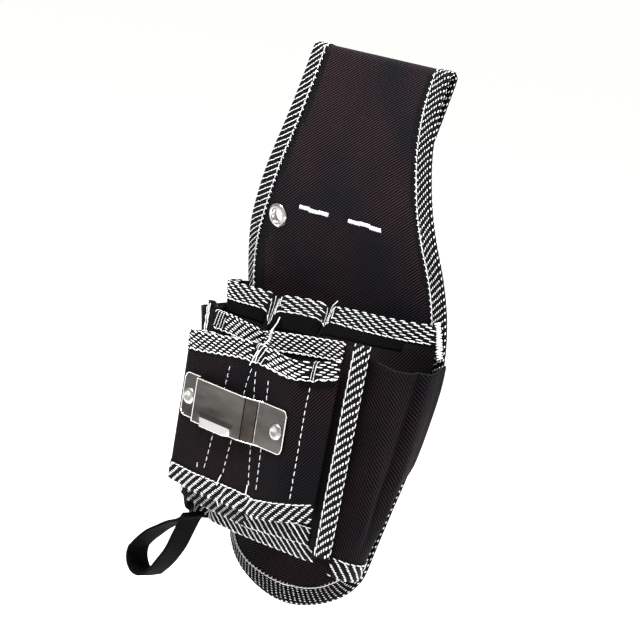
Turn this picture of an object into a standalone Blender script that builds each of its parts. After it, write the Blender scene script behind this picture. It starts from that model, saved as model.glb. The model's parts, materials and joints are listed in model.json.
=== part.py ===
"""Electrician's belt pouch: a bound fabric back panel that folds over into a belt tunnel, three tiers of
front pockets between two bound seams, a pocket on each side, a riveted steel tape holder, an eyelet and a
webbing strap loop that swings at its sewn root.

Lengths below are in millimetres, measured on the pouch: X to the wearer's left as seen from the front,
-Y out of the front, Z up from the lowest edge. An empty puts the middle of the belt tunnel at the origin.
"""

import math

import bmesh
import bpy
from mathutils import Matrix, Vector

MM = 0.001

# Cloth and clearances
BACK_THICKNESS = 1.6
CLOTH_THICKNESS = 1.2
TAPE_THICKNESS = 0.9
TAPE_WIDTH = 11.0
TAPE_GAP = 0.7
SEAM_STANDOFF = 3.9

# Back panel: heights and half widths out to the bound edge
HEIGHT = 322.0
LOWEST = 3.5
ROUND_HEIGHT = 36.0
ROUND_HALF_WIDTH = 57.0
ROUND_POWER = 1.8
HALF_WIDTHS = (
    (36.0, 57.0),
    (52.0, 59.0),
    (72.0, 62.5),
    (94.0, 67.6),
    (123.0, 74.6),
    (150.0, 79.8),
    (172.0, 81.3),
    (190.0, 81.2),
    (212.0, 78.1),
    (231.0, 72.1),
    (255.0, 64.7),
    (275.0, 59.2),
    (298.0, 55.4),
    (322.0, 54.2),
)
EDGE_ALLOWANCE = TAPE_GAP + TAPE_THICKNESS
TURN_START, TURN_TOP = 18.0, 98.0
TURN_WIDER, TURN_DEPTH = 19.0, 19.0
CURL_TOP = 120.0
CURL_DEPTH = 19.0
BOW_START = 150.0
BOW_PEAK = 250.0
BOW_DEPTH = 16.0

# Fold at the top, and the belt flap behind the neck down to its stitched edge: (height, y, half width)
FOLD_RADIUS = 3.5
FOLD_Y = -2.5
FLAP = (
    (308.0, 0.8, 51.0),
    (297.0, 0.4, 48.5),
    (272.0, -2.5, 44.0),
    (252.0, -5.0, 42.0),
    (240.0, -7.5, 42.0),
    (226.6, -10.0, 42.0),
)
BELT_POINT = Vector((0.0, -8.0, 273.0))

# Pockets, outwards from the back panel
REAR_TOP, REAR_MIDDLE, REAR_BOTTOM = 175.5, 110.0, 41.0
REAR_RISE = 7.0
REAR_MARGIN = 3.0
HEM_INSET = 6.0
MIDDLE_TOPS = ((-58.0, 162.8), (-16.0, 160.2), (50.0, 167.5))
MIDDLE_LOWS = ((-57.0, 51.0), (0.0, 48.5), (50.0, 52.0))
MIDDLE_Y = -50.0
FRONT_TOPS = ((-52.0, 150.5), (0.0, 155.5), (30.0, 152.8), (56.0, 159.0))
FRONT_LOWS = ((-59.0, 64.0), (-20.0, 62.0), (17.0, 60.0), (41.0, 64.0), (55.0, 67.0))
FRONT_Y = -66.0
FRONT_RIGHT = (51.5, 55.5)
SEAM_X = {"left": (57.0, 57.0), "right": (50.0, 55.0)}
SEAM_ENDS = {"left": (52.0, 166.0), "right": (47.0, 170.0)}
SEAM_REACH = 11.0
SEAM_TAPE = 9.0
SEAM_ANGLES = {"right": math.radians(5.0), "left": math.radians(32.0)}
PLY_OFFSET = 0.85
REAR_ROUNDING, FRONT_ROUNDING, SIDE_ROUNDING = 8.0, 4.0, 7.0
SIDE_TOP, SIDE_MIDDLE, SIDE_BOTTOM = 162.0, 100.0, 34.0
SIDE_EXTRA = {"right": (0.0, 0.0, 0.0), "left": (8.0, 3.0, 5.0)}
SIDE_SEAM_END = {"right": 46.5, "left": 51.5}

# Steel tape holder
CLIP_LEFT, CLIP_RIGHT = -53.5, 31.5
CLIP_BOTTOM, CLIP_TOP = 99.5, 124.5
CLIP_STEP, CLIP_CREASE, CLIP_FOOT = -40.0, 1.5, 12.5
CLIP_THICKNESS = 1.0
CLIP_RAISE = 4.6
CLIP_LIP = 2.2
CLIP_Y = FRONT_Y - CLOTH_THICKNESS / 2 - 0.3 - CLIP_THICKNESS / 2
CLIP_TILT = 0.035
RIVETS = {"left": Vector((-47.9, CLIP_Y, 114.2)), "right": Vector((25.2, CLIP_Y, 111.6))}
RIVET_HOLE = 2.4
RIVET_POST = 2.0
RIVET_CAP = 4.9

# Eyelet and bar tacks on the neck
EYELET = (-54.3, 219.8)
EYELET_HOLE = 4.3
EYELET_BARREL = 4.8
EYELET_FLANGE = 7.7
EYELET_CUT = 5.2
EYELET_CLEARANCE = 0.5
TACK_HEIGHT = 228.6
TACK_SPANS = {"left": (-35.5, -12.0), "right": (5.5, 30.5)}
TACK_SIZE = (2.4, 1.2)

# Strap loop
STRAP_ROOT = Vector((-43.0, -55.5, 43.5))
STRAP_WIDTH = 16.0
STRAP_THICKNESS = 1.5
STRAP_LENGTH = 57.0
STRAP_BELLY = 10.0
STRAP_DROP = math.radians(43.0)


def material(name, colour, roughness, metallic=0.0):
    made = bpy.data.materials.new(name)
    made.use_nodes = True
    shader = made.node_tree.nodes["Principled BSDF"]
    shader.inputs["Base Color"].default_value = (*colour, 1.0)
    shader.inputs["Roughness"].default_value = roughness
    shader.inputs["Metallic"].default_value = metallic
    made.diffuse_color = (*colour, 1.0)
    return made


def smooth_table(table, at):
    """Value at `at` on a smooth curve through a table of (position, value), positions rising."""
    spots = [spot for spot, _ in table]
    values = [value for _, value in table]
    last = len(table) - 1
    if at <= spots[0]:
        return values[0]
    if at >= spots[last]:
        return values[last]
    i = max(k for k in range(last) if spots[k] <= at)
    before, after = max(i - 1, 0), min(i + 2, last)
    span = spots[i + 1] - spots[i]
    slope_a = (values[i + 1] - values[before]) / (spots[i + 1] - spots[before]) * span
    slope_b = (values[after] - values[i]) / (spots[after] - spots[i]) * span
    t = (at - spots[i]) / span
    rise = values[i + 1] - values[i]
    square = 3 * rise - 2 * slope_a - slope_b
    cube = slope_a + slope_b - 2 * rise
    return values[i] + t * (slope_a + t * (square + t * cube))


def half_width(z):
    if z >= ROUND_HEIGHT:
        return smooth_table(HALF_WIDTHS, z) - EDGE_ALLOWANCE
    drop = min((ROUND_HEIGHT - z) / (ROUND_HEIGHT - LOWEST), 1.0)
    return (ROUND_HALF_WIDTH - EDGE_ALLOWANCE) * max(1.0 - drop**ROUND_POWER, 0.0) ** (1.0 / ROUND_POWER)


def back_y(z):
    """Middle surface of the back panel: flat at the hip, curled forward below it and bowed at the neck."""
    if z < CURL_TOP:
        return -CURL_DEPTH * ((CURL_TOP - z) / CURL_TOP) ** 2
    if z <= BOW_START:
        return 0.0
    if z <= BOW_PEAK:
        return -BOW_DEPTH * math.sin(math.pi / 2 * (z - BOW_START) / (BOW_PEAK - BOW_START)) ** 2
    fold = HEIGHT - FOLD_RADIUS
    rise = BOW_DEPTH + FOLD_Y - FOLD_RADIUS
    return -BOW_DEPTH + rise * (max(z - BOW_PEAK, 0.0) / (fold - BOW_PEAK)) ** 1.8


def rounded(points, radius, steps=2):
    """The corners of a polyline turned into short curves."""
    out = [points[0].copy()]
    for before, corner, after in zip(points, points[1:], points[2:]):
        reach_in = min(radius, (corner - before).length * 0.45)
        reach_out = min(radius, (after - corner).length * 0.45)
        start = corner + (before - corner).normalized() * reach_in
        end = corner + (after - corner).normalized() * reach_out
        for k in range(steps + 1):
            t = k / steps
            out.append(start * (1 - t) ** 2 + corner * 2 * t * (1 - t) + end * t**2)
    out.append(points[-1].copy())
    return out


def sheet(name, rows, thickness, finish):
    """Cloth of even thickness whose middle surface runs through a grid of points."""
    data = bpy.data.meshes.new(name)
    bm = bmesh.new()
    grid = bmesh.ops.create_grid(bm, x_segments=len(rows[0]) - 1, y_segments=len(rows) - 1, size=1.0)
    for vertex in grid["verts"]:
        column = round((vertex.co.x + 1) / 2 * (len(rows[0]) - 1))
        row = round((vertex.co.y + 1) / 2 * (len(rows) - 1))
        vertex.co = rows[row][column] * MM
    bm.to_mesh(data)
    bm.free()
    obj = bpy.data.objects.new(name, data)
    obj.data.materials.append(finish)
    shell = obj.modifiers.new("thickness", "SOLIDIFY")
    shell.thickness = thickness * MM
    shell.offset = 0.0
    shell.use_even_offset = True
    return placed(obj)


def placed(obj, parent=None):
    parts.objects.link(obj)
    obj.parent = parent or pouch
    return obj


def tape(name, edge, thickness_inside):
    """Binding folded over an edge. `edge` lists (surface at 0, half and full tape width, normals)."""
    offset = thickness_inside / 2 + TAPE_GAP + TAPE_THICKNESS / 2
    rows = []
    for surface, normals in edge:
        outer = (surface[0] - surface[1]).normalized() * (TAPE_GAP + TAPE_THICKNESS / 2)
        front = [point + normal * offset for point, normal in zip(surface, normals)]
        back = [point - normal * offset for point, normal in zip(surface, normals)]
        rows.append([front[2], front[1], front[0] + outer, back[0] + outer, back[1], back[2]])
    return sheet(name, rows, TAPE_THICKNESS, binding_black)


def edge_frames(point, count, along, start=0):
    """Tape stations on one edge of a surface point(i, d), d being the distance in from the edge."""
    frames = []
    for i in range(start, start + count):
        depths = (0.0, along / 2, along)
        surface = [point(i, d) for d in depths]
        normals = []
        for d in depths:
            low, high = max(i - 1, start), min(i + 1, start + count - 1)
            side = point(high, d) - point(low, d)
            inward = point(i, d + 0.5) - point(i, d)
            normals.append(side.cross(inward).normalized())
        frames.append((surface, normals))
    return frames


def turned(name, profile, finish, segments, parent_matrix):
    """A turned piece: `profile` lists (radius, height), down the outside and back up the inside."""
    data = bpy.data.meshes.new(name)
    bm = bmesh.new()
    points = [bm.verts.new((radius * MM, 0.0, height * MM)) for radius, height in profile]
    for a, b in zip(points, points[1:] + points[:1]):
        if a.co.x > 0 or b.co.x > 0:
            bm.edges.new((a, b))
    bm.to_mesh(data)
    bm.free()
    obj = bpy.data.objects.new(name, data)
    obj.data.materials.append(finish)
    screw = obj.modifiers.new("turn", "SCREW")
    screw.steps = screw.render_steps = segments
    screw.use_merge_vertices = True
    screw.merge_threshold = 0.00001
    obj.matrix_local = parent_matrix
    return placed(obj)


def facing(point, direction):
    """Placement in millimetres that turns local +Z to a direction."""
    turn = Vector(direction).to_track_quat("Z", "Y").to_matrix().to_4x4()
    return Matrix.Translation(Vector(point) * MM) @ turn


def cut_hole(obj, name, radius, point, direction):
    bm = bmesh.new()
    bmesh.ops.create_cone(
        bm, cap_ends=True, segments=16, radius1=radius * MM, radius2=radius * MM, depth=12.0 * MM
    )
    data = bpy.data.meshes.new(name)
    bm.to_mesh(data)
    bm.free()
    cutter = bpy.data.objects.new(name, data)
    cutters.objects.link(cutter)
    cutter.parent = pouch
    cutter.matrix_local = facing(point, direction)
    cutter.hide_render = True
    cutter.display_type = "WIRE"
    hole = obj.modifiers.new(name, "BOOLEAN")
    hole.operation = "DIFFERENCE"
    hole.object = cutter


def turned_back(x, z):
    """How far a point of the back panel moves where its lower left corner curls outwards and back."""
    share = min(max((-x - TURN_START) / (ROUND_HALF_WIDTH - TURN_START), 0.0), 1.0)
    fade = min(max((TURN_TOP - z) / (TURN_TOP - ROUND_HEIGHT), 0.0), 1.0)
    return Vector((-TURN_WIDER * share**2 * fade, TURN_DEPTH * share**3 * fade, 0.0))


def panel_rows():
    """(half width, y, z) from the flap's lower edge over the fold and down to the rounded bottom."""
    rows = [(width, y, z) for z, y, width in reversed(FLAP)]
    turn = 4
    fold_z = HEIGHT - FOLD_RADIUS
    rows += [
        (
            half_width(fold_z),
            FOLD_Y + FOLD_RADIUS * math.cos(math.pi * k / turn),
            fold_z + FOLD_RADIUS * math.sin(math.pi * k / turn),
        )
        for k in range(turn + 1)
    ]
    heights = [304, 290, 275, 260, 245, 228, 212, 197, 182, 166, 150, 120, 107, TURN_TOP, 88, 76, 65, 54, 42]
    rows += [(half_width(z), back_y(z), z) for z in heights]
    corner = 6
    for k in range(corner):
        angle = math.pi / 2 * (1 - k / corner)
        z = ROUND_HEIGHT - (ROUND_HEIGHT - LOWEST) * math.cos(angle) ** (2 / ROUND_POWER)
        rows.append((half_width(z), back_y(z), z))
    return rows


def make_back_panel():
    rows = panel_rows()
    shares = (-1.0, -0.93, -0.85, -0.76, -0.64, -0.5, 0.0, 0.5, 1.0)
    grid = [[Vector((width * s, y, z)) + turned_back(width * s, z) for s in shares] for width, y, z in rows]
    back = sheet("back_panel", grid, BACK_THICKNESS, oxford_black)
    x, z = EYELET
    slope = (back_y(z + 4) - back_y(z - 4)) / 8
    facing_out = Vector((0, -1, slope))
    cut_hole(back, "eyelet_hole", EYELET_CUT, (x, back_y(z), z), facing_out)
    make_eyelet((x, back_y(z), z), facing_out)
    make_edge_binding(rows)


def make_edge_binding(rows):
    """One tape round the whole outline, from one lower corner of the flap to the other."""
    lengths = [0.0]
    for before, after in zip(rows, rows[1:]):
        lengths.append(lengths[-1] + math.dist(before[1:], after[1:]))

    def on_panel(x, along):
        """The point of the folded panel that lies x across and that far along the cloth."""
        i = min(max(k for k, length in enumerate(lengths) if length <= max(along, 0.0)), len(rows) - 2)
        share = (along - lengths[i]) / (lengths[i + 1] - lengths[i])
        (_, ya, za), (_, yb, zb) = rows[i], rows[i + 1]
        z = za + (zb - za) * share
        return Vector((x, ya + (yb - ya) * share, z)) + turned_back(x, z)

    def station(x, along, step_x, step_along):
        """Points 0, half and full tape width in from the edge, and the cloth's normal there."""
        surface = []
        normals = []
        for distance in (0.0, TAPE_WIDTH / 2, TAPE_WIDTH):
            place = along + step_along * distance
            surface.append(on_panel(x + step_x * distance, place))
            here = x + step_x * distance
            down = on_panel(here, place + 1.5) - on_panel(here, place - 1.5)
            across = on_panel(here + 1.5, place) - on_panel(here - 1.5, place)
            normals.append(down.cross(across).normalized())
        return surface, normals

    stations = []
    for side, order in ((-1, range(len(rows))), (1, reversed(range(len(rows))))):
        for index in order:
            low, high = max(index - 1, 0), min(index + 1, len(rows) - 1)
            wider = rows[high][0] - rows[low][0]
            further = lengths[high] - lengths[low]
            size = math.hypot(wider, further)
            step_x, step_along = -side * further / size, wider / size
            stations.append(station(side * rows[index][0], lengths[index], step_x, step_along))
        if side == -1:
            stations.append(station(0.0, lengths[-1], 0.0, -1.0))
    tape("edge_binding", stations, BACK_THICKNESS)


def make_eyelet(point, direction):
    gap = BACK_THICKNESS / 2 + EYELET_CLEARANCE
    front = [
        (EYELET_HOLE, gap + 0.9),
        (EYELET_HOLE + 1.2, gap + 1.5),
        (EYELET_FLANGE - 0.8, gap + 1.0),
        (EYELET_FLANGE, gap),
        (EYELET_BARREL, gap),
        (EYELET_BARREL, -gap - 1.0),
        (EYELET_HOLE, -gap - 1.0),
    ]
    turned("eyelet", front, satin_steel, 24, facing(point, direction))
    washer = [
        (EYELET_BARREL + 0.3, -gap),
        (EYELET_FLANGE, -gap),
        (EYELET_FLANGE, -gap - 0.8),
        (EYELET_BARREL + 0.3, -gap - 0.8),
    ]
    turned("eyelet_washer", washer, satin_steel, 24, facing(point, direction))


def make_tacks():
    """Dense zigzag stitches that hold the flap's lower edge to the neck."""
    for side, (start, end) in TACK_SPANS.items():
        bm = bmesh.new()
        bmesh.ops.create_cube(bm, size=1.0)
        height, depth = TACK_SIZE
        bmesh.ops.scale(bm, verts=bm.verts, vec=Vector((end - start, depth, height)) * MM)
        data = bpy.data.meshes.new("belt_tack_" + side)
        bm.to_mesh(data)
        bm.free()
        tack = bpy.data.objects.new("belt_tack_" + side, data)
        tack.data.materials.append(white_thread)
        out = BACK_THICKNESS / 2 + 0.35 + depth / 2
        tack.location = Vector(((start + end) / 2, back_y(TACK_HEIGHT) - out, TACK_HEIGHT)) * MM
        placed(tack)


def through(z, low, middle, high):
    """Value at z on the parabola through three (height, value) pairs."""
    total = 0.0
    pairs = (low, middle, high)
    for i, (zi, value) in enumerate(pairs):
        weight = 1.0
        for j, (zj, _) in enumerate(pairs):
            if i != j:
                weight *= (z - zj) / (zi - zj)
        total += value * weight
    return total


def hem_inset(z):
    """How much further in the pockets meet the back panel near the bottom, where its binding shows."""
    return HEM_INSET * min(max((120.0 - z) / 60.0, 0.0), 1.0)


def rear_section(z):
    """Rear pocket seen from above at a height: deep on the left, near the back panel at its right mouth."""
    edge = half_width(z) - REAR_MARGIN - hem_inset(z)
    hem = back_y(z) - SEAM_STANDOFF
    level = min(z, REAR_TOP)

    def at(bottom, middle, top):
        return through(level, (REAR_BOTTOM, bottom), (REAR_MIDDLE, middle), (REAR_TOP, top))

    corners = [
        (-edge, hem),
        (at(-50, -67, -79), at(-30, -24, -24)),
        (at(-43, -46, -62), at(-43, -42, -26)),
        (at(-20, -20, -34), at(-44, -42.5, -25.5)),
        (at(18, 14, -6), at(-44, -42.5, -14)),
        (at(46, 46, 40), at(-43, -40, -14)),
        (at(52, 62, 66), at(-30, -22, -12)),
        (edge, hem),
    ]
    points = [Vector((x, y, z)) for x, y in corners]
    points[0] += turned_back(-edge, z)
    return rounded(points, REAR_ROUNDING)


def between(table, at):
    """Value at a position on straight lines through (position, value) pairs."""
    if at <= table[0][0]:
        return table[0][1]
    for (a, low), (b, high) in zip(table, table[1:]):
        if at <= b:
            return low + (high - low) * (at - a) / (b - a)
    return table[-1][1]


def seam_flange(side, z, reach, offset):
    """Point on a seam: `reach` out along its flange and `offset` behind its middle surface."""
    angle = SEAM_ANGLES[side]
    sign = 1 if side == "right" else -1
    out = Vector((sign * math.cos(angle), math.sin(angle), 0))
    behind = Vector((-sign * math.sin(angle), math.cos(angle), 0))
    root = between(((SEAM_ENDS[side][0], SEAM_X[side][0]), (SEAM_ENDS[side][1], SEAM_X[side][1])), z)
    return Vector((sign * root, MIDDLE_Y, z)) + out * reach + behind * offset


def middle_section(z):
    """Middle pocket: flat between the seams, its margins running out into them."""
    points = [seam_flange("left", z, SEAM_REACH, -PLY_OFFSET), seam_flange("left", z, 0.0, -PLY_OFFSET)]
    points += [seam_flange("right", z, 0.0, -PLY_OFFSET), seam_flange("right", z, SEAM_REACH, -PLY_OFFSET)]
    inner = [points[1].lerp(points[2], share) for share in (0.06, 0.35, 0.65, 0.94)]
    return [points[0], points[1], *inner, points[2], points[3]]


def front_section(z):
    """Front pocket: a pleat at its left, flat behind the steel clip, then back to the right seam."""
    end = between(((FRONT_LOWS[-1][1], FRONT_RIGHT[0]), (FRONT_TOPS[-1][1], FRONT_RIGHT[1])), z)
    corners = [(-46, -55.2), (-55, -57), (-59, FRONT_Y), (34, FRONT_Y), (44, -60.5), (end, -55.6)]
    return rounded([Vector((x, y, z)) for x, y in corners], FRONT_ROUNDING)


def side_section(side, z):
    """Side pocket: from the back panel's edge round a soft bulge, then behind the seam's tape."""
    sign = 1 if side == "right" else -1
    lower, half, upper = SIDE_EXTRA[side]
    edge = sign * (half_width(z) + 2.4 - hem_inset(z))

    def at(bottom, middle, top):
        return through(z, (SIDE_BOTTOM, bottom), (SIDE_MIDDLE, middle), (SIDE_TOP, top))

    corners = [
        Vector((edge, back_y(z) - SEAM_STANDOFF, 0)) + turned_back(edge, z),
        Vector((sign * at(62 + lower, 77 + half, 86.5 + upper), at(-20, -16, -14), 0)),
        Vector((sign * at(64 + lower, 76 + half, 85 + upper), at(-31, -30, -32), 0)),
        seam_flange(side, z, SEAM_REACH + at(0, 3.0, 5.0), 7.0),
        seam_flange(side, z, 4.0, 5.4),
        seam_flange(side, z, -1.2, 3.2),
        seam_flange(side, z, 0.0, PLY_OFFSET),
        seam_flange(side, z, SEAM_REACH, PLY_OFFSET),
    ]
    for corner in corners:
        corner.z = z
    return rounded(corners, SIDE_ROUNDING)


def pocket(name, section, low, high, rows, top_tape=None, bottom_tape=None):
    """A pocket panel and its bindings. A tape argument is the (first, last) column that it covers."""
    columns = len(section(low(0)))
    hem = TAPE_WIDTH + 2.0

    def height(i, k):
        """Rows are even but for the two outer ones, which are a little taller than the tape."""
        if k in (0, rows):
            return high(i) if k else low(i)
        return low(i) + hem + (high(i) - low(i) - 2 * hem) * (k - 1) / max(rows - 2, 1)

    grid = [[section(height(i, k))[i] for i in range(columns)] for k in range(rows + 1)]
    panel = sheet(name + "_panel", grid, CLOTH_THICKNESS, oxford_black)

    def from_top(i, distance):
        return grid[-1][i] + (grid[-2][i] - grid[-1][i]).normalized() * distance

    def from_bottom(i, distance):
        return grid[0][i] + (grid[1][i] - grid[0][i]).normalized() * distance

    if top_tape:
        first, last = top_tape
        stations = edge_frames(from_top, last - first + 1, TAPE_WIDTH, first)
        tape(name + "_top_binding", stations, CLOTH_THICKNESS)
    if bottom_tape:
        first, last = bottom_tape
        stations = edge_frames(from_bottom, last - first + 1, TAPE_WIDTH, first)
        tape(name + "_bottom_binding", stations, CLOTH_THICKNESS)
    return panel


def make_pockets():
    last = len(rear_section(REAR_TOP)) - 1

    def rear_top(i):
        """The mouth rises towards the right."""
        return REAR_TOP + REAR_RISE * (i / last) ** 2

    pocket(
        "rear_pocket",
        rear_section,
        lambda i: REAR_BOTTOM,
        rear_top,
        6,
        (1, last - 1),
        (4, last - 4),
    )
    middle_x = [point.x for point in middle_section(MIDDLE_TOPS[0][1])]
    pocket(
        "middle_pocket",
        middle_section,
        lambda i: between(MIDDLE_LOWS, middle_x[i]),
        lambda i: between(MIDDLE_TOPS, middle_x[i]),
        3,
        (2, 5),
        (2, 5),
    )
    front_x = [point.x for point in front_section(FRONT_TOPS[0][1])]
    last = len(front_x) - 1
    front = pocket(
        "front_pocket",
        front_section,
        lambda i: between(FRONT_LOWS, front_x[i]),
        lambda i: between(FRONT_TOPS, front_x[i]),
        3,
        (0, last),
        (0, last),
    )
    for side, point in RIVETS.items():
        cut_hole(front, "front_rivet_hole_" + side, RIVET_HOLE, (point.x, FRONT_Y, point.z), (0, -1, 0))
    for side in ("left", "right"):
        make_side_pocket(side)


def make_side_pocket(side):
    def section(z):
        return side_section(side, z)

    count = len(section(SIDE_TOP))

    def low(i):
        """Lowest at the middle of the bulge, higher towards both seams."""
        return min(SIDE_BOTTOM + 0.5 * (i - 4.5) ** 2, SIDE_SEAM_END[side] if i > 4 else 46.5)

    def high(i):
        return SIDE_TOP - 5.0 * math.sin(math.pi * min(i / (count - 4), 1.0)) + 3.0 * i / (count - 1)

    pocket(side + "_pocket", section, low, high, 5, None, (1, count - 12))
    seam = []
    for z in (SEAM_ENDS[side][0], sum(SEAM_ENDS[side]) / 2, SEAM_ENDS[side][1]):
        surface = [seam_flange(side, z, SEAM_REACH - d, 0.0) for d in (0.0, SEAM_TAPE / 2, SEAM_TAPE)]
        forward = seam_flange(side, z, 0.0, -1.0) - seam_flange(side, z, 0.0, 0.0)
        seam.append((surface, [forward] * 3))
    tape(side + "_seam_binding", seam, 2 * PLY_OFFSET + CLOTH_THICKNESS)


def make_clip():
    """Pressed steel bridge: flat flanges, a raised middle with a flared lip, and a sloping right end."""
    across = [CLIP_LEFT, -50.5, -44.0, CLIP_STEP, CLIP_STEP + 0.8, -36, -31.5, -27, -19, -11, -6.5, -2]
    across += [CLIP_CREASE, CLIP_CREASE + 2.2, 8.0, CLIP_FOOT, 20.0, 28.5, CLIP_RIGHT]
    up = [CLIP_BOTTOM, CLIP_BOTTOM + 2.5, CLIP_BOTTOM + 5.5, 112.0, CLIP_TOP - 3.0, CLIP_TOP]

    def raised(x):
        if x <= CLIP_STEP or x >= CLIP_FOOT:
            return 0.0
        if x <= CLIP_CREASE:
            return CLIP_RAISE
        return CLIP_RAISE * (CLIP_FOOT - x) / (CLIP_FOOT - CLIP_CREASE)

    def lip(x, z):
        from_bottom = max(0.0, 1.0 - (z - CLIP_BOTTOM) / 5.5)
        centred = abs(x + 19.0)
        return CLIP_LIP * from_bottom * min(1.0, max(0.0, (14.0 - centred) / 4.0))

    rows = []
    for z in up:
        ends = 2.0 if z in (CLIP_BOTTOM, CLIP_TOP) else 0.0
        row = []
        for x in across:
            shift = ends if x == CLIP_LEFT else (-ends if x == CLIP_RIGHT else 0.0)
            lower = (x - CLIP_RIGHT) * CLIP_TILT
            row.append(Vector((x + shift, CLIP_Y - raised(x) - lip(x, z), z - lower)))
        rows.append(row)
    clip = sheet("tape_holder_clip", rows, CLIP_THICKNESS, satin_steel)
    for side, point in RIVETS.items():
        cut_hole(clip, "clip_rivet_hole_" + side, RIVET_HOLE, point, (0, -1, 0))
        make_rivet(side, point)


def make_rivet(side, point):
    """Domed cap with a post through clip and cloth, and the washer that it is set against."""
    base = CLIP_THICKNESS / 2 + 0.3
    back = -(CLIP_THICKNESS / 2 + 0.3 + CLOTH_THICKNESS + 0.3)
    profile = [(0.0, base + 2.2)]
    profile += [(RIVET_CAP * math.sin(a), base + 0.5 + 1.7 * math.cos(a)) for a in (0.5, 1.0, math.pi / 2)]
    profile += [(RIVET_CAP, base), (RIVET_POST, base), (RIVET_POST, back - 1.2), (0.0, back - 1.2)]
    turned("clip_rivet_" + side, profile, satin_steel, 20, facing(point, (0, -1, 0)))
    washer = [
        (RIVET_POST + 0.3, back),
        (RIVET_CAP - 0.4, back),
        (RIVET_CAP - 0.4, back - 0.8),
        (RIVET_POST + 0.3, back - 0.8),
    ]
    turned("clip_washer_" + side, washer, satin_steel, 20, facing(point, (0, -1, 0)))


def make_strap():
    """A webbing loop on the seam's lower end, hinged where it is sewn."""
    joint = bpy.data.objects.new("strap_joint", None)
    parts.objects.link(joint)
    joint.parent = pouch
    joint.location = STRAP_ROOT * MM
    joint.rotation_euler = (0.0, STRAP_DROP, 0.0)
    bottom = -STRAP_LENGTH
    half = STRAP_BELLY
    start = STRAP_THICKNESS / 2 + 0.2
    outline = [Vector((start, 0, 0.6)), Vector((start, 0, -5))]
    outline += [Vector((half * 0.72, 0, bottom * 0.38)), Vector((half, 0, bottom * 0.68))]
    arc = 5
    centre = bottom + half
    outline += [
        Vector((half * math.cos(a), 0, centre - half * math.sin(a)))
        for a in (math.pi / 2 * k / arc for k in range(1, arc))
    ]
    left = [Vector((-p.x, 0, p.z)) for p in reversed(outline)]
    run = outline + [Vector((0, 0, bottom))] + left
    rows = [[p + Vector((0, y, 0)) for p in run] for y in (-STRAP_WIDTH / 2, STRAP_WIDTH / 2)]
    strap = sheet("strap_loop", rows, STRAP_THICKNESS, webbing_black)
    strap.parent = joint


for old in list(bpy.data.objects):
    bpy.data.objects.remove(old, do_unlink=True)

parts = bpy.data.collections.new("electrician_pouch")
cutters = bpy.data.collections.new("cutters")
bpy.context.scene.collection.children.link(parts)
bpy.context.scene.collection.children.link(cutters)
pouch = bpy.data.objects.new("pouch", None)
parts.objects.link(pouch)
pouch.location = -BELT_POINT * MM

oxford_black = material("oxford_black", (0.012, 0.010, 0.012), 0.75)
binding_black = material("binding_black", (0.20, 0.20, 0.21), 0.8)
webbing_black = material("webbing_black", (0.014, 0.013, 0.016), 0.7)
white_thread = material("white_thread", (0.80, 0.80, 0.80), 0.6)
satin_steel = material("satin_steel", (0.55, 0.54, 0.52), 0.3, 1.0)

make_back_panel()
make_tacks()
make_pockets()
make_clip()
make_strap()
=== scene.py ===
"""Looks of the electrician's belt pouch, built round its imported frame.

Shapes are worked out in millimetres on the pouch: X to the right as seen from the front, -Y out of the front,
Z up from the lowest edge. Each mesh is turned into metres in the row frame as it is made.
"""

import json
import math

import bpy
import numpy as np
from mathutils import Matrix, Vector


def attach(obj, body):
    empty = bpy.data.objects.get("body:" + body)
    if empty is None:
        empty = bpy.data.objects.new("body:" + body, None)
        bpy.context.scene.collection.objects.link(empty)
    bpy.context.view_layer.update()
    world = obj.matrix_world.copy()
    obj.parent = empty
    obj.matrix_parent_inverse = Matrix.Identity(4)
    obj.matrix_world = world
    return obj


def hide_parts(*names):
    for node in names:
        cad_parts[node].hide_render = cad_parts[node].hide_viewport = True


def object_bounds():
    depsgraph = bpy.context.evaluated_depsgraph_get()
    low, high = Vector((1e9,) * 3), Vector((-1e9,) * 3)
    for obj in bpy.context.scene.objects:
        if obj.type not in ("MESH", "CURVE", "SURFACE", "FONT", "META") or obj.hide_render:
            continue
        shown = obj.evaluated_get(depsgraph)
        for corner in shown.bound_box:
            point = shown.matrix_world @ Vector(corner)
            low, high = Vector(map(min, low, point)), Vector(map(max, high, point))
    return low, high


MM = 0.001

# Cloth. The tape widths are of one side of a binding.
BACK_THICKNESS = 1.5
CLOTH_THICKNESS = 1.1
TAPE_THICKNESS = 0.55
TAPE_WIDTH, SEAM_TAPE_WIDTH = 11.0, 9.5

# Binding: slack inside its fold, how far the fold's middle lies inside the edge, and the distance between
# its rows of points. Its stitches press it in by TAPE_BED, in a strip this far from its inner edges.
TAPE_PLAY, TAPE_OVERLAP, TAPE_ROW = 0.12, 0.35, 1.8
TAPE_BED, BED_START, BED_END = 0.25, 2.6, 0.6

# How far the pockets' sides stand off the back panel's middle surface
SEAM_STANDOFF = 3.9

# Back panel: (height, half width) pairs out to the bound edge
HEIGHT, LOWEST, ROUND_HEIGHT = 322.0, 3.5, 36.0
ROUND_HALF_WIDTH, ROUND_POWER = 57.0, 1.8
HALF_WIDTHS = (
    (36.0, 57.0), (52.0, 59.0), (72.0, 62.5), (94.0, 67.6), (123.0, 74.6), (150.0, 79.8), (172.0, 81.3),
    (190.0, 81.2), (212.0, 78.1), (231.0, 72.1), (255.0, 64.7), (275.0, 59.2), (298.0, 55.4), (322.0, 54.2),
)

# From the cloth's own edge out to the bound one, and how wide the plain strip inside the binding reaches
EDGE_ALLOWANCE = 1.3
SELVEDGE_REACH = 14.4

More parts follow.
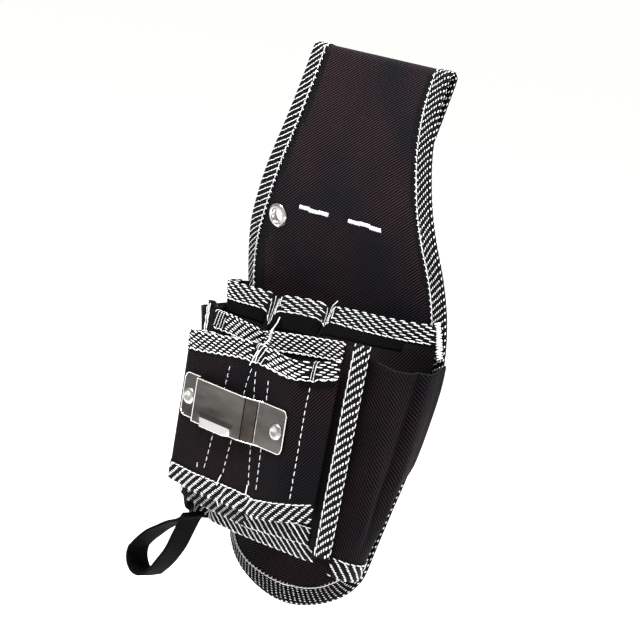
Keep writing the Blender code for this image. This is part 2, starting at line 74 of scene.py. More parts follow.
# Shape from the side: the bottom curls forward, its left corner turns back, the neck bows forward
CURL_TOP, CURL_DEPTH = 120.0, 19.0
TURN_START, TURN_TOP, TURN_WIDER, TURN_DEPTH = 18.0, 98.0, 19.0, 19.0
BOW_START, BOW_PEAK, BOW_DEPTH = 150.0, 250.0, 16.0
FOLD_RADIUS, FOLD_Y = 3.5, -2.5

# Flap, as (height, y of its middle surface, half width)
FLAP = (
    (226.6, -10.0, 42.0),
    (240.0, -7.5, 42.0),
    (252.0, -5.0, 42.0),
    (272.0, -2.5, 44.0),
    (297.0, 0.4, 48.0),
    (308.0, 0.8, 50.5),
)

# Pockets: heights of their edges, with (x, height) pairs where they aren't level
REAR_TOP, REAR_MIDDLE, REAR_BOTTOM, REAR_RISE, REAR_MARGIN = 175.5, 110.0, 41.0, 7.0, 3.0
HEM_INSET = 6.0
MIDDLE_TOPS = ((-58.0, 162.8), (-34.0, 162.0), (-16.0, 160.2), (16.0, 163.5), (50.0, 167.5))
MIDDLE_LOWS = ((-57.0, 51.0), (0.0, 48.5), (50.0, 52.0))
MIDDLE_Y = -50.0
FRONT_TOPS = ((-59.0, 150.2), (-52.0, 150.5), (0.0, 155.0), (14.0, 154.0), (30.0, 153.0))
FRONT_TOPS += ((44.0, 155.5), (56.0, 159.0))
FRONT_LOWS = ((-59.0, 64.0), (-40.0, 62.6), (-20.0, 62.0), (2.0, 61.6), (17.0, 60.3))
FRONT_LOWS += ((41.0, 64.0), (55.0, 67.0))
FRONT_Y = -66.0

# Side seams: x where the front panel ends, and each seam's distance from the middle, at its lower and upper
# end, the heights of those ends, how far the flange reaches out and at what angle
FRONT_RIGHT = (51.5, 55.5)
SEAM_X = {"left": (57.0, 57.0), "right": (50.0, 55.0)}
SEAM_ENDS = {"left": (52.0, 166.0), "right": (47.0, 170.0)}
SEAM_REACH = 11.0
SEAM_ANGLES = {"right": math.radians(5.0), "left": math.radians(32.0)}
PLY_OFFSET = 0.85

# Side pockets, with the height at which each one's lower edge meets its seam. SIDE_EXTRA is how far each
# one bulges out past the right one's shape, at its bottom, middle and top.
SIDE_TOP, SIDE_MIDDLE, SIDE_BOTTOM = 162.0, 100.0, 34.0
SIDE_EXTRA = {"right": (0.0, 0.0, 0.0), "left": (5.0, 3.0, 5.0)}
SIDE_SEAM_END = {"right": 46.5, "left": 51.5}

# Where tacks and folds gather the pockets' upper edges
REAR_TACKS, MIDDLE_TACK, FRONT_TACKS = (-33.0, 0.6), -13.0, (-2.0, 40.5)

# Tape holder: its outline, its bends from left to right, its lip at the bottom of the raised part
CLIP_LEFT, CLIP_RIGHT, CLIP_BOTTOM, CLIP_TOP = -53.5, 31.5, 99.5, 124.5
CLIP_STEP, CLIP_CREASE, CLIP_FOOT = -40.0, 1.5, 12.5
CLIP_THICKNESS, CLIP_RAISE, CLIP_LIP, CLIP_TILT, CLIP_CORNER = 0.9, 4.6, 3.0, 0.035, 3.2
LIP_X, LIP_HALF_WIDTH, LIP_HEIGHT = -19.0, 13.0, 7.0
CLIP_Y = -67.4

# Middles of the rivets and the eyelet, as (x, height)
RIVETS = {"left": (-47.9, 114.2), "right": (25.2, 111.6)}
EYELET = (-54.3, 219.8)
EYELET_HOLE = 5.4

# Belt tacks, and the strap loop with the angle at which it hangs
TACK_HEIGHT = 228.6
TACK_SPANS = {"left": (-35.5, -12.0), "right": (5.5, 30.5)}
STRAP_ROOT = np.array([-43.0, -55.5, 43.5])
STRAP_WIDTH, STRAP_THICKNESS, STRAP_LENGTH, STRAP_BELLY = 16.0, 1.5, 57.0, 10.0
STRAP_DROP = math.radians(43.0)

# Camera, in degrees and millimetres
CAMERA_AZIMUTH, CAMERA_ELEVATION, CAMERA_ROLL = 44.0, 9.3, 9.1
CAMERA_TARGET = np.array([-0.9, -20.0, 169.3])
CAMERA_DISTANCE, CAMERA_LENS = 1657.0, 163.1

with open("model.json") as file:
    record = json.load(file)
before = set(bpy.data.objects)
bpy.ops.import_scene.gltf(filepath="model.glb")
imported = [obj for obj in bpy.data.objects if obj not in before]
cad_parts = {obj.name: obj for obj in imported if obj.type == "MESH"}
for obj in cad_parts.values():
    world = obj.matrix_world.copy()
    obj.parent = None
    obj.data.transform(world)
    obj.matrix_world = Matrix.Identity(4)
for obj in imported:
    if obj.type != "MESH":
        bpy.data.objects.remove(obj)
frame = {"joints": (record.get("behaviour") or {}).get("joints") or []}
bpy.context.scene.view_settings.view_transform = "Standard"
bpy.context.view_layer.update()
SHIFT = np.array(frame["joints"][0]["pos_m"]) / MM - STRAP_ROOT
rng = np.random.default_rng(7)


# ---------------------------------------------------------------- shape helpers


def unit(vectors):
    return vectors / np.maximum(np.linalg.norm(vectors, axis=-1, keepdims=True), 1e-12)


def smooth_table(table, at):
    """Values at `at` on a smooth curve through (position, value) pairs, positions rising."""
    spots = np.array([row[0] for row in table], float)
    values = np.array([row[1] for row in table], float)
    slopes = np.gradient(values, spots)
    at = np.clip(np.asarray(at, float), spots[0], spots[-1])
    i = np.clip(np.searchsorted(spots, at, side="right") - 1, 0, len(spots) - 2)
    span = spots[i + 1] - spots[i]
    t = (at - spots[i]) / span
    rise = values[i + 1] - values[i]
    a, b = slopes[i] * span, slopes[i + 1] * span
    return values[i] + t * (a + t * (3 * rise - 2 * a - b + t * (a + b - 2 * rise)))


def step(value, low, high):
    t = np.clip((value - low) / (high - low), 0, 1)
    return t * t * (3 - 2 * t)


def bump(value, centre, width):
    return np.exp(-(((value - centre) / width) ** 2))


def bumps(value, table):
    """The sum of bumps given as (height, centre, width)."""
    return sum(height * bump(value, centre, width) for height, centre, width in table)


def waves(u, v, length, seed):
    """Smooth uneven ripple, about -1 to 1, with features of about that length in millimetres."""
    draw = np.random.default_rng(seed)
    count = 6
    total = np.zeros(np.broadcast(u, v).shape)
    for _ in range(count):
        angle, phase, scale = draw.uniform(0, math.tau), draw.uniform(0, math.tau), draw.uniform(0.7, 1.5)
        total += np.sin((u * math.cos(angle) + v * math.sin(angle)) * math.tau / (length * scale) + phase)
    return total / math.sqrt(count) / 1.4


def rounded(points, radius):
    """The corners of a polyline turned into short curves."""
    points = np.asarray(points, float)
    steps = 7
    out = [points[0]]
    for before, corner, after in zip(points, points[1:], points[2:]):
        back, ahead = before - corner, after - corner
        start = corner + unit(back) * min(radius, np.linalg.norm(back) * 0.48)
        end = corner + unit(ahead) * min(radius, np.linalg.norm(ahead) * 0.48)
        for k in range(steps + 1):
            t = k / steps
            out.append(start * (1 - t) ** 2 + corner * 2 * t * (1 - t) + end * t**2)
    out.append(points[-1])
    return np.array(out)


def lengths(path):
    return np.concatenate([[0.0], np.cumsum(np.linalg.norm(np.diff(path, axis=0), axis=1))])


def spread(at, positions, rows):
    """Rows of values, given at rising positions, at other places between them."""
    return np.stack([np.interp(at, positions, rows[:, k]) for k in range(rows.shape[1])], axis=-1)


def resample(path, count):
    """The same path with evenly spaced points."""
    along = lengths(path)
    return spread(np.linspace(0, along[-1], count), along, path)


def centres(grid):
    """The middles of a grid's cells."""
    return (grid[:-1, :-1] + grid[1:, 1:]) / 2


def smoothed(values, times):
    """Rows averaged with their neighbours, ends held."""
    values = values.copy()
    for _ in range(times):
        values[1:-1] = 0.25 * values[:-2] + 0.5 * values[1:-1] + 0.25 * values[2:]
    return values


def grid_normals(grid, sign=1.0):
    """Normals of a grid of points, rows by columns."""
    return unit(np.cross(np.gradient(grid, axis=1), np.gradient(grid, axis=0))) * sign


def grid_faces(rows, columns, keep=None):
    index = np.arange(rows * columns).reshape(rows, columns)
    quads = np.stack([index[:-1, :-1], index[:-1, 1:], index[1:, 1:], index[1:, :-1]], axis=-1)
    if keep is not None:
        return quads[keep]
    return quads.reshape(-1, 4)


# ---------------------------------------------------------------- meshes


def placed(name, data):
    """An object in the scene that shows some data."""
    made = bpy.data.objects.new(name, data)
    bpy.context.scene.collection.objects.link(made)
    return made


def piece(name, points, faces, finish, body="pouch", uv=None):
    """A mesh object from points in pouch millimetres, with a finish, riding on a body."""
    data = bpy.data.meshes.new(name)
    world = (np.asarray(points, float).reshape(-1, 3) + SHIFT) * MM
    data.from_pydata(world.tolist(), [], [tuple(int(i) for i in face if i >= 0) for face in faces])
    data.validate()
    if uv is not None:
        layer = data.uv_layers.new(name="cloth_mm")
        corner = np.empty(len(data.loops), np.int32)
        data.loops.foreach_get("vertex_index", corner)
        layer.data.foreach_set("uv", np.asarray(uv, np.float32).reshape(-1, 2)[corner].ravel())
    data.polygons.foreach_set("use_smooth", np.ones(len(data.polygons), bool))
    material, slot = FINISH[finish]
    data.materials.append(material)
    made = placed(name, data)
    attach(made, body)
    return made


def add_finishes(made, finishes, index):
    """More finishes on a piece, and the number of each face's finish. Its own is 0."""
    for finish in finishes:
        made.data.materials.append(FINISH[finish][0])
    made.data.polygons.foreach_set("material_index", index.ravel().astype(np.int32))


def thicken(made, thickness):
    shell = made.modifiers.new("thickness", "SOLIDIFY")
    shell.thickness = thickness * MM
    shell.offset = 0.0
    return made


def cloth(name, grid, thickness, finish, uv, keep=None, body="pouch"):
    """A sheet from a grid of points, with its flat lengths as texture coordinates."""
    rows, columns = grid.shape[:2]
    made = piece(name, grid, grid_faces(rows, columns, keep), finish, body, uv)
    return thicken(made, thickness)


class Parts:
    """Many small closed shapes gathered into one mesh. In a triangle, the face's last index is -1."""

    def __init__(self):
        self.points, self.faces, self.count = [], [], 0

    def add(self, points, faces):
        self.points.append(points)
        self.faces.append(np.where(faces >= 0, faces + self.count, -1))
        self.count += len(points)

    def object(self, name, finish):
        return piece(name, np.concatenate(self.points), np.concatenate(self.faces), finish)


GRAIN_STATIONS = ((-0.5, 0.0), (-0.40, 0.75), (-0.18, 1.0), (0.18, 1.0), (0.40, 0.75), (0.5, 0.0))
GRAIN_SECTION = ((-0.5, 0.0), (-0.36, 0.72), (0.0, 1.0), (0.36, 0.72), (0.5, 0.0), (0.0, -0.3))


def grain_template():
    """Unit yarn float: (along, across, up) points and faces of a closed slim shape."""
    points = []
    for along, size in GRAIN_STATIONS:
        if size == 0.0:
            points.append((along, 0.0, 0.0))
        else:
            points += [(along, across * size, up * size) for across, up in GRAIN_SECTION]
    ring = len(GRAIN_SECTION)
    rings = len(GRAIN_STATIONS) - 2
    faces = []
    for k in range(ring):
        n = (k + 1) % ring
        faces.append((0, 1 + n, 1 + k, -1))
        faces.append((1 + rings * ring, 1 + (rings - 1) * ring + k, 1 + (rings - 1) * ring + n, -1))
        for r in range(rings - 1):
            a = 1 + r * ring
            faces.append((a + k, a + n, a + ring + n, a + ring + k))
    return np.array(points), np.array(faces)


GRAIN_POINTS, GRAIN_FACES = grain_template()


def add_copies(parts, positions):
    """Adds one grain for each row of positions, shaped (copies, grain points, 3)."""
    copies, size = positions.shape[:2]
    offsets = (np.arange(copies) * size)[:, None, None]
    faces = np.where(GRAIN_FACES[None] >= 0, GRAIN_FACES[None] + offsets, -1)
    parts.add(positions.reshape(-1, 3), faces.reshape(-1, 4))


def add_grains(parts, centres, along, up, length, width, height):
    """Straight yarn floats: one for each centre, lying along a direction on a surface with normal `up`."""
    along = unit(np.asarray(along, float))[:, None]
    up = unit(np.asarray(up, float))[:, None]
    length = np.broadcast_to(length, (len(centres),))[:, None, None]
    p = GRAIN_POINTS[None]
    positions = np.asarray(centres, float)[:, None] + along * (p[..., 0:1] * length)
    positions = positions + np.cross(up, along) * (p[..., 1:2] * width) + up * (p[..., 2:3] * height)
    add_copies(parts, positions)


def add_tube(parts, path, radius):
    """A closed round tube along a path."""
    sides = 8
    path = np.asarray(path, float)
    tangent = unit(np.gradient(path, axis=0))
    side = np.cross(tangent, (0.0, 0.0, 1.0))
    side[np.linalg.norm(side, axis=1) < 1e-3] = (1.0, 0.0, 0.0)
    side = unit(side)
    other = np.cross(tangent, side)
    angle = np.arange(sides) * math.tau / sides
    ring = side[:, None] * np.cos(angle)[None, :, None] + other[:, None] * np.sin(angle)[None, :, None]
    points = (path[:, None] + ring * radius).reshape(-1, 3)
    last = len(points) - sides
    pairs = [(k, (k + 1) % sides) for k in range(sides)]
    rings = range(0, last, sides)
    faces = [(i + k, i + n, i + sides + n, i + sides + k) for i in rings for k, n in pairs]
    for k, n in pairs:
        faces += [(len(points), n, k, -1), (len(points) + 1, last + k, last + n, -1)]
    parts.add(np.concatenate([points, path[:1], path[-1:]]), np.array(faces))


def thread_path(points, steps=8):
    """A smooth curve through a few points."""
    points = np.asarray(points, float)
    padded = np.concatenate([[2 * points[0] - points[1]], points, [2 * points[-1] - points[-2]]])
    out = []
    for a, b, c, d in zip(padded, padded[1:], padded[2:], padded[3:]):
        square, cube = 2 * a - 5 * b + 4 * c - d, 3 * b - a - 3 * c + d
        out += [0.5 * (2 * b + (c - a) * t + square * t**2 + cube * t**3) for t in np.arange(steps) / steps]
    out.append(points[-1])
    return np.array(out)


def turned(name, profile, place, axis, finish, replaces):
    """A turned piece: `profile` lists (radius, height) round its closed section."""
    segments = 48
    angle = np.arange(segments) * math.tau / segments
    axis = unit(np.asarray(axis, float))
    side = unit(np.cross(axis, (1.0, 0.0, 0.0)))
    other = np.cross(axis, side)
    ring = side[None] * np.cos(angle)[:, None] + other[None] * np.sin(angle)[:, None]
    profile = np.asarray(profile, float)
    points = ring[:, None] * profile[None, :, 0:1] + axis * profile[None, :, 1:2] + np.asarray(place, float)
    index = np.arange(segments * len(profile)).reshape(segments, len(profile))
    ahead = np.roll(index, -1, axis=0)
    faces = np.stack([index, ahead, np.roll(ahead, -1, axis=1), np.roll(index, -1, axis=1)], axis=-1)
    made = piece(name, points, faces.reshape(-1, 4), finish)
    weld = made.modifiers.new("weld", "WELD")
    weld.merge_threshold = 0.00001
    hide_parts(replaces)
    return made


# ---------------------------------------------------------------- materials


def shader(name, colour, roughness, metallic=0.0, **sockets):
    made = bpy.data.materials.new(name)
    made.use_nodes = True
    principled = made.node_tree.nodes["Principled BSDF"]
    principled.inputs["Base Color"].default_value = (*colour, 1.0)
    principled.inputs["Roughness"].default_value = roughness
    principled.inputs["Metallic"].default_value = metallic
    for socket, value in sockets.items():
        principled.inputs[socket.replace("_", " ")].default_value = value
    made.diffuse_color = (*colour, 1.0)
    return made


def node(tree, kind, inputs=(), **settings):
    """A node with its settings, and inputs given as values or as other nodes' outputs."""
    made = tree.nodes.new(kind)
    for key, value in settings.items():
        setattr(made, key, value)
    for key, value in dict(inputs).items():
        if isinstance(value, bpy.types.NodeSocket):
            tree.links.new(value, made.inputs[key])
        else:
            made.inputs[key].default_value = value
    return made


def maths(tree, operation, a, b=0.0):
    return node(tree, "ShaderNodeMath", {0: a, 1: b}, operation=operation).outputs[0]


def connect(tree, output, socket):
    """Drives a socket of the surface shader."""
    tree.links.new(output, tree.nodes["Principled BSDF"].inputs[socket])


def noise(tree, source, scale, detail):
    sockets = {"Vector": source, "Scale": scale, "Detail": detail}
    return node(tree, "ShaderNodeTexNoise", sockets).outputs["Fac"]


def ramp(tree, value, low, high):
    """The colour at a value between two (position, colour) stops."""
    made = node(tree, "ShaderNodeValToRGB", {"Fac": value})
    for stop, (position, colour) in zip(made.color_ramp.elements, (low, high)):
        stop.position = position
        stop.color = (*colour, 1)
    return made.outputs[0]


def emboss(tree, height, strength, distance):
    relief = node(tree, "ShaderNodeBump", {"Height": height, "Strength": strength, "Distance": distance})
    connect(tree, relief.outputs[0], "Normal")


def ribs(tree, u, v, degrees, pitch):
    """0 to 1 across each rib of a weave whose ribs run at that angle."""
    angle = math.radians(degrees)
    sideways = maths(tree, "MULTIPLY", u, -math.sin(angle))
    along = maths(tree, "ADD", sideways, maths(tree, "MULTIPLY", v, math.cos(angle)))
    wave = maths(tree, "SINE", maths(tree, "MULTIPLY", along, math.tau / pitch))
    return maths(tree, "ADD", maths(tree, "MULTIPLY", wave, 0.5), 0.5)


def weave(tree, first, second):
    """Relief of two sets of ribs, each (degrees, pitch, share), and the texture coordinates."""
    source = node(tree, "ShaderNodeUVMap", uv_map="cloth_mm").outputs["UV"]
    split = node(tree, "ShaderNodeSeparateXYZ", {0: source})
    shares = []
    for degrees, pitch, share in (first, second):
        rib = ribs(tree, split.outputs[0], split.outputs[1], degrees, pitch)
        shares.append(maths(tree, "MULTIPLY", rib, share))
    return maths(tree, "ADD", *shares), source


def oxford_cloth(name, light, slant):
    """Black ribbed oxford: fine slanting ribs broken up by the cross yarns, with faint colour patches. The
    colour rises from near black in the rib valleys to `light` on the rib tops: painted shade between the ribs
    and painted highlight on their ridges.
    """
    made = shader(name, (0.010, 0.008, 0.009), 0.75, Specular_IOR_Level=0.04)
    tree = made.node_tree
    both, source = weave(tree, (slant, 1.45, 0.86), (slant - 86, 0.9, 0.14))
    uneven = maths(tree, "MULTIPLY", noise(tree, source, 1.6, 3.0), 0.9)
    height = maths(tree, "MULTIPLY", both, maths(tree, "ADD", uneven, 0.35))
    # painted highlight and shade: rib tops get the light colour, the valleys near black
    lit = ramp(tree, height, (0.40, (0.0003, 0.0002, 0.0003)), (0.80, light))
    patch = noise(tree, source, 0.018, 2.0)
    tint = ramp(tree, patch, (0.36, (1.0, 0.78, 0.80)), (0.62, (0.46, 0.58, 0.70)))
    mixed = node(tree, "ShaderNodeMix", data_type="RGBA", blend_type="MULTIPLY")
    mixed.inputs[0].default_value = 1.0
    tree.links.new(lit, mixed.inputs[6])
    tree.links.new(tint, mixed.inputs[7])
    connect(tree, mixed.outputs[2], "Base Color")
    emboss(tree, height, 0.8, 0.00035)
    return made


# Black woven tapes: colour, gloss, two sets of ribs as (degrees, pitch, share), size of the grain, the
# (relief, colour) stops and the strength and depth of the relief. The stops paint the rib valleys darker and
# the rib tops lighter: painted shade of the relief.
WOVEN = {
    "binding_black": {
        "base": ((0.004, 0.0035, 0.0045), 0.6),
        "specular": 0.06,
        "ribs": ((90, 0.8, 0.6), (0, 1.45, 0.4)),
        "grain": 2.2,
        "stops": ((0.1, (0.0004, 0.0004, 0.0005)), (0.55, (0.0045, 0.0038, 0.0048))),
        "relief": (0.6, 0.0003),
    },
    "webbing_black": {
        "base": ((0.005, 0.0045, 0.0055), 0.8),
        "specular": 0.03,
        "ribs": ((90, 1.3, 0.85), (0, 2.0, 0.15)),
        "grain": 1.8,
        "stops": ((0.1, (0.0003, 0.0003, 0.0004)), (0.6, (0.0062, 0.0054, 0.0062))),
        "relief": (1.0, 0.0006),
    },
}


def woven_tape(name):
    """The finish of a binding tape's ground or of webbing: cross ribs and fainter lengthwise ones."""
    look = WOVEN[name]
    made = shader(name, *look["base"], Specular_IOR_Level=look["specular"])
    tree = made.node_tree
    both, source = weave(tree, *look["ribs"])
    height = maths(tree, "MULTIPLY", both, noise(tree, source, look["grain"], 2.0))
    # painted shade: colour follows the rib relief, darker in the valleys
    connect(tree, ramp(tree, height, *look["stops"]), "Base Color")
    emboss(tree, height, *look["relief"])
    return made


def speckled(name, dark, light, scale, roughness, metallic, specular):
    """A colour that wanders between two tones in spots of about 1 / scale metres."""
    made = shader(name, light, roughness, metallic, Specular_IOR_Level=specular)
    tree = made.node_tree
    source = node(tree, "ShaderNodeTexCoord").outputs["Object"]
    colour = ramp(tree, noise(tree, source, scale, 3.0), (0.35, dark), (0.65, light))
    connect(tree, colour, "Base Color")
    return made


def satin_steel(name, dark, light):
    """Dark nickel plate with a fine grain and faint handling marks."""
    made = shader(name, light, 0.25, metallic=1.0)
    tree = made.node_tree
    source = node(tree, "ShaderNodeTexCoord").outputs["Object"]
    stretched = node(tree, "ShaderNodeMapping", {"Vector": source, "Scale": (40.0, 400.0, 1100.0)}).outputs[0]
    broad = node(tree, "ShaderNodeMapping", {"Vector": source, "Scale": (22.0, 60.0, 70.0)}).outputs[0]
    blotch = noise(tree, broad, 1.0, 3.0)
    connect(tree, ramp(tree, blotch, (0.3, dark), (0.75, light)), "Base Color")
    rough = node(tree, "ShaderNodeMapRange", {"Value": blotch, 3: 0.14, 4: 0.36}).outputs[0]
    connect(tree, rough, "Roughness")
    emboss(tree, noise(tree, stretched, 1.0, 4.0), 0.12, 0.0002)
    return made


# Speckled finishes: dark and light tone, spots per metre, roughness and other sockets
SPECKLED = {
    "selvedge_black": ((0.0022, 0.0019, 0.0023), (0.0046, 0.0041, 0.0049), 700, 0.7, 0.0, 0.04),
    "hem_grey": ((0.0070, 0.0062, 0.0070), (0.0130, 0.0120, 0.0130), 700, 0.6, 0.0, 0.04),
    "white_thread": ((0.68, 0.68, 0.69), (0.86, 0.86, 0.86), 900, 0.55, 0.0, 0.3),
    # lighter than the plate: the bare cut edge, and painted highlight on the step edge and the flared lip
    "cut_edge_and_highlight_steel": ((0.73, 0.72, 0.70), (0.78, 0.77, 0.75), 120, 0.22, 1.0, 0.5),
    "bright_nickel": ((0.22, 0.215, 0.21), (0.52, 0.51, 0.50), 260, 0.2, 1.0, 0.5),
    # near black: painted shade along the plate's crease and bend lines
    "crease_shadow_steel": ((0.006, 0.006, 0.006), (0.016, 0.015, 0.015), 400, 0.5, 1.0, 0.5),
}


def make_finishes():
    """Each finish with the material slot that it stands for."""
    plain = {name: speckled(name, *values) for name, values in SPECKLED.items()}
    plate = satin_steel("satin_steel", (0.034, 0.031, 0.029), (0.132, 0.124, 0.117))
    # a darker copy of the plate finish: painted shade on the slope right of the crease
    shaded_plate = satin_steel("shaded_steel", (0.020, 0.016, 0.014), (0.085, 0.070, 0.062))
    return {
        # The two oxford finishes are one cloth: the pockets' copy has darker rib tops, painted shade; the
        # back panel's copy is the lit one.
        "oxford": (oxford_cloth("oxford_black", (0.0400, 0.0288, 0.0332), 36), "oxford_black"),
        "pocket_oxford_shaded": (oxford_cloth("pocket_oxford_shaded", (0.0225, 0.0164, 0.0190), 52), "oxford_black"),
        "selvedge": (plain["selvedge_black"], "oxford_black"),
        "hem": (plain["hem_grey"], "oxford_black"),
        "tape": (woven_tape("binding_black"), "binding_black"),
        "webbing": (woven_tape("webbing_black"), "webbing_black"),
        "thread": (plain["white_thread"], "white_thread"),
        "steel": (plate, "satin_steel"),
        "shaded_steel": (shaded_plate, "satin_steel"),
        # bright: the cut edge, and painted highlights on the step edge and the lip
        "bright": (plain["cut_edge_and_highlight_steel"], "satin_steel"),
        "nickel": (plain["bright_nickel"], "satin_steel"),
        "dark_steel": (plain["crease_shadow_steel"], "satin_steel"),
    }


FINISH = make_finishes()


# ---------------------------------------------------------------- binding tapes


class Tape:
    """Binding folded over an edge. a runs along the edge; c runs across the tape, 0 at the fold and
    positive on the side that the normals face. `pulls` are places where a tack or a corner changes
    how far its front leg reaches, as (a, spread, share longer)."""

    def __init__(self, edge, inward, normal, gap, width=TAPE_WIDTH):
        self.edge, self.inward, self.normal = edge, unit(inward), unit(normal)
        self.lengths = lengths(edge)
        self.total = self.lengths[-1]
        self.radius = gap / 2 + TAPE_THICKNESS / 2 + TAPE_PLAY
        self.reach = width + self.radius * (math.pi / 2 - 1)
        self.pulls = []

    def at_x(self, x):
        """The length along the tape at which its edge has this x."""
        return float(np.interp(x, self.edge[:, 0], self.lengths))

    def at(self, a, c):
        """Point on the tape's middle surface, its outward normal and the direction across."""
        a, c = np.broadcast_arrays(np.asarray(a, float), np.asarray(c, float))
        edge = spread(a, self.lengths, self.edge)
        inward = unit(spread(a, self.lengths, self.inward))
        normal = unit(spread(a, self.lengths, self.normal))
        quarter = self.radius * math.pi / 2
        phi = np.clip(c / self.radius, -math.pi / 2, math.pi / 2)[..., None]
        leg = np.clip(np.abs(c) - quarter, 0, None)
        for place, width, longer in self.pulls:
            leg = np.where(c > 0, leg * (1 + longer * bump(a, place, width)), leg)
        leg = leg[..., None]
        depth = TAPE_OVERLAP - self.radius * np.cos(phi) + leg
        sewn = step(np.abs(c)[..., None], self.reach - BED_START, self.reach - BED_END)
        height = (self.radius - TAPE_BED * sewn) * np.sin(phi)
        point = edge + inward * depth + normal * height
        out = normal * np.sin(phi) - inward * np.cos(phi)
        rising = inward * np.sin(phi) + normal * np.cos(phi)
        across = np.where(leg > 0, inward * np.sign(c)[..., None], rising)
        return point, unit(out), unit(across)

    def body(self, name, replaces, rests_on):
        a = np.linspace(0, self.total, max(int(self.total / TAPE_ROW), 4) + 1)
        quarter = self.radius * math.pi / 2
        leg = self.reach - np.array([0.0, 0.7, 1.8, 3.4])
        leg = np.concatenate([leg, np.linspace(leg[-1], quarter, 4)[1:]])
        arc = np.linspace(quarter, -quarter, 9)[1:-1]
        c = np.concatenate([leg, arc, -leg[::-1]])
        point = self.at(a[:, None], c[None, :])[0]
        uv = np.stack(np.broadcast_arrays(a[:, None], c[None, :]), axis=-1)
        made = cloth(name, point, TAPE_THICKNESS, "tape", uv)
        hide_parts(replaces)


# How much single floats differ from their pattern: share of length, degrees, share of width, millimetres
SIZE_SPREAD, ANGLE_SPREAD, WIDTH_SPREAD, ALONG_SPREAD, ACROSS_SPREAD = 0.06, 2.5, 0.05, 0.1, 0.06

# A float's height, how deep it sits and how far it keeps from the ends of its zone. The rows' distances from
# the tape's two edges, and the place across the tape of the row on the fold.
FLOAT_HEIGHT, FLOAT_SINK, FLOAT_MARGIN = 0.42, 0.04, 0.3
FIRST_ROW, LAST_ROW, FOLD_ROW = 1.3, 1.0, -0.4
STITCH_LIFT, STITCH_HEIGHT, STITCH_SPREAD = 0.02, 0.5, 0.07

# Woven floats: distance in a row, shift from row to row, size, distance between rows, slant in degrees and
# what differs in the row on the fold
PATTERN = {"pitch": 5.6, "shift": 1.75, "length": 3.2, "width": 0.6, "spacing": 1.33, "angle": 8, "fold": {}}


def add_floats(parts, tape, start, end, changes):
    """White yarn floats woven into a tape, in slanting rows right round its fold."""
    pattern = {**PATTERN, **changes}
    row = 0
    c = tape.reach - FIRST_ROW
    while c > LAST_ROW - tape.reach:
        first = (row * pattern["shift"]) % pattern["pitch"]
        first += math.floor(start / pattern["pitch"]) * pattern["pitch"]
        a = np.arange(first, end, pattern["pitch"])
        a = a[(a > start + FLOAT_MARGIN) & (a < end - FLOAT_MARGIN)]
        if len(a):
            at_fold = abs(c - FOLD_ROW) < pattern["spacing"] / 2
            floats_at(parts, tape, a, c, {**pattern, **(pattern["fold"] if at_fold else {})})
        row += 1
        c -= pattern["spacing"]


def floats_at(parts, tape, middle, c, pattern):
    """One row of floats, each a little different in size, angle and place."""
    p = GRAIN_POINTS
    count = len(middle)
    size = 1 + rng.normal(0, SIZE_SPREAD, count)
    angle = np.radians(pattern["angle"] + rng.normal(0, ANGLE_SPREAD, count))
    ahead = p[None, :, 0] * (pattern["length"] * size)[:, None]
    aside = p[None, :, 1] * (pattern["width"] * (1 + rng.normal(0, WIDTH_SPREAD, count)))[:, None]
    cos, sin = np.cos(angle)[:, None], np.sin(angle)[:, None]
    a = middle[:, None] + rng.normal(0, ALONG_SPREAD, count)[:, None] + ahead * cos - aside * sin
    c = c + rng.normal(0, ACROSS_SPREAD, count)[:, None] + ahead * sin + aside * cos
    end, side = tape.total - 0.05, tape.reach + 0.3
    point, out, _ = tape.at(np.clip(a, 0.05, end), np.clip(c, -side, side))
    height = TAPE_THICKNESS / 2 - FLOAT_SINK + p[None, :, 2] * FLOAT_HEIGHT
    add_copies(parts, point + out * height[..., None])


def add_edge_stitches(parts, tape, c, length, gap, width):
    """A row of lock stitches along each of a tape's inner edges."""
    a = np.arange(length / 2 + 0.3, tape.total - length / 2, length + gap)
    for side in (1, -1):
        jitter = rng.normal(0, STITCH_SPREAD, len(a))
        here, out, _ = tape.at(a, side * c + jitter)
        ahead = tape.at(a + 0.5, side * (c + 0.06) + jitter)[0]
        on_tape = here + out * (TAPE_THICKNESS / 2 + STITCH_LIFT)
        add_grains(parts, on_tape, ahead - here, out, length, width, STITCH_HEIGHT)


def add_scallops(parts, tape, pitch, c):
    """Stitches that hang in shallow cups from a tape's inner edges, two to a cup."""
    steepness, width = 0.42, 0.62
    a = np.arange(pitch * 0.3, tape.total - 1.5, pitch / 2)
    slope = np.where(np.arange(len(a)) % 2, -steepness, steepness)
    for side in (1, -1):
        here, out, _ = tape.at(a, side * c)
        ahead = tape.at(a + 0.5, side * (c + 0.5 * slope))[0]
        on_tape = here + out * (TAPE_THICKNESS / 2 + STITCH_LIFT)
        add_grains(parts, on_tape, ahead - here, out, pitch * 0.52, width, STITCH_HEIGHT)


# ---------------------------------------------------------------- back panel


def half_width(z):
    z = np.asarray(z, float)
    drop = np.clip((ROUND_HEIGHT - z) / (ROUND_HEIGHT - LOWEST), 0, 1)
    low = (ROUND_HALF_WIDTH - EDGE_ALLOWANCE) * np.clip(1 - drop**ROUND_POWER, 0, 1) ** (1 / ROUND_POWER)
    return np.where(z >= ROUND_HEIGHT, smooth_table(HALF_WIDTHS, z) - EDGE_ALLOWANCE, low)


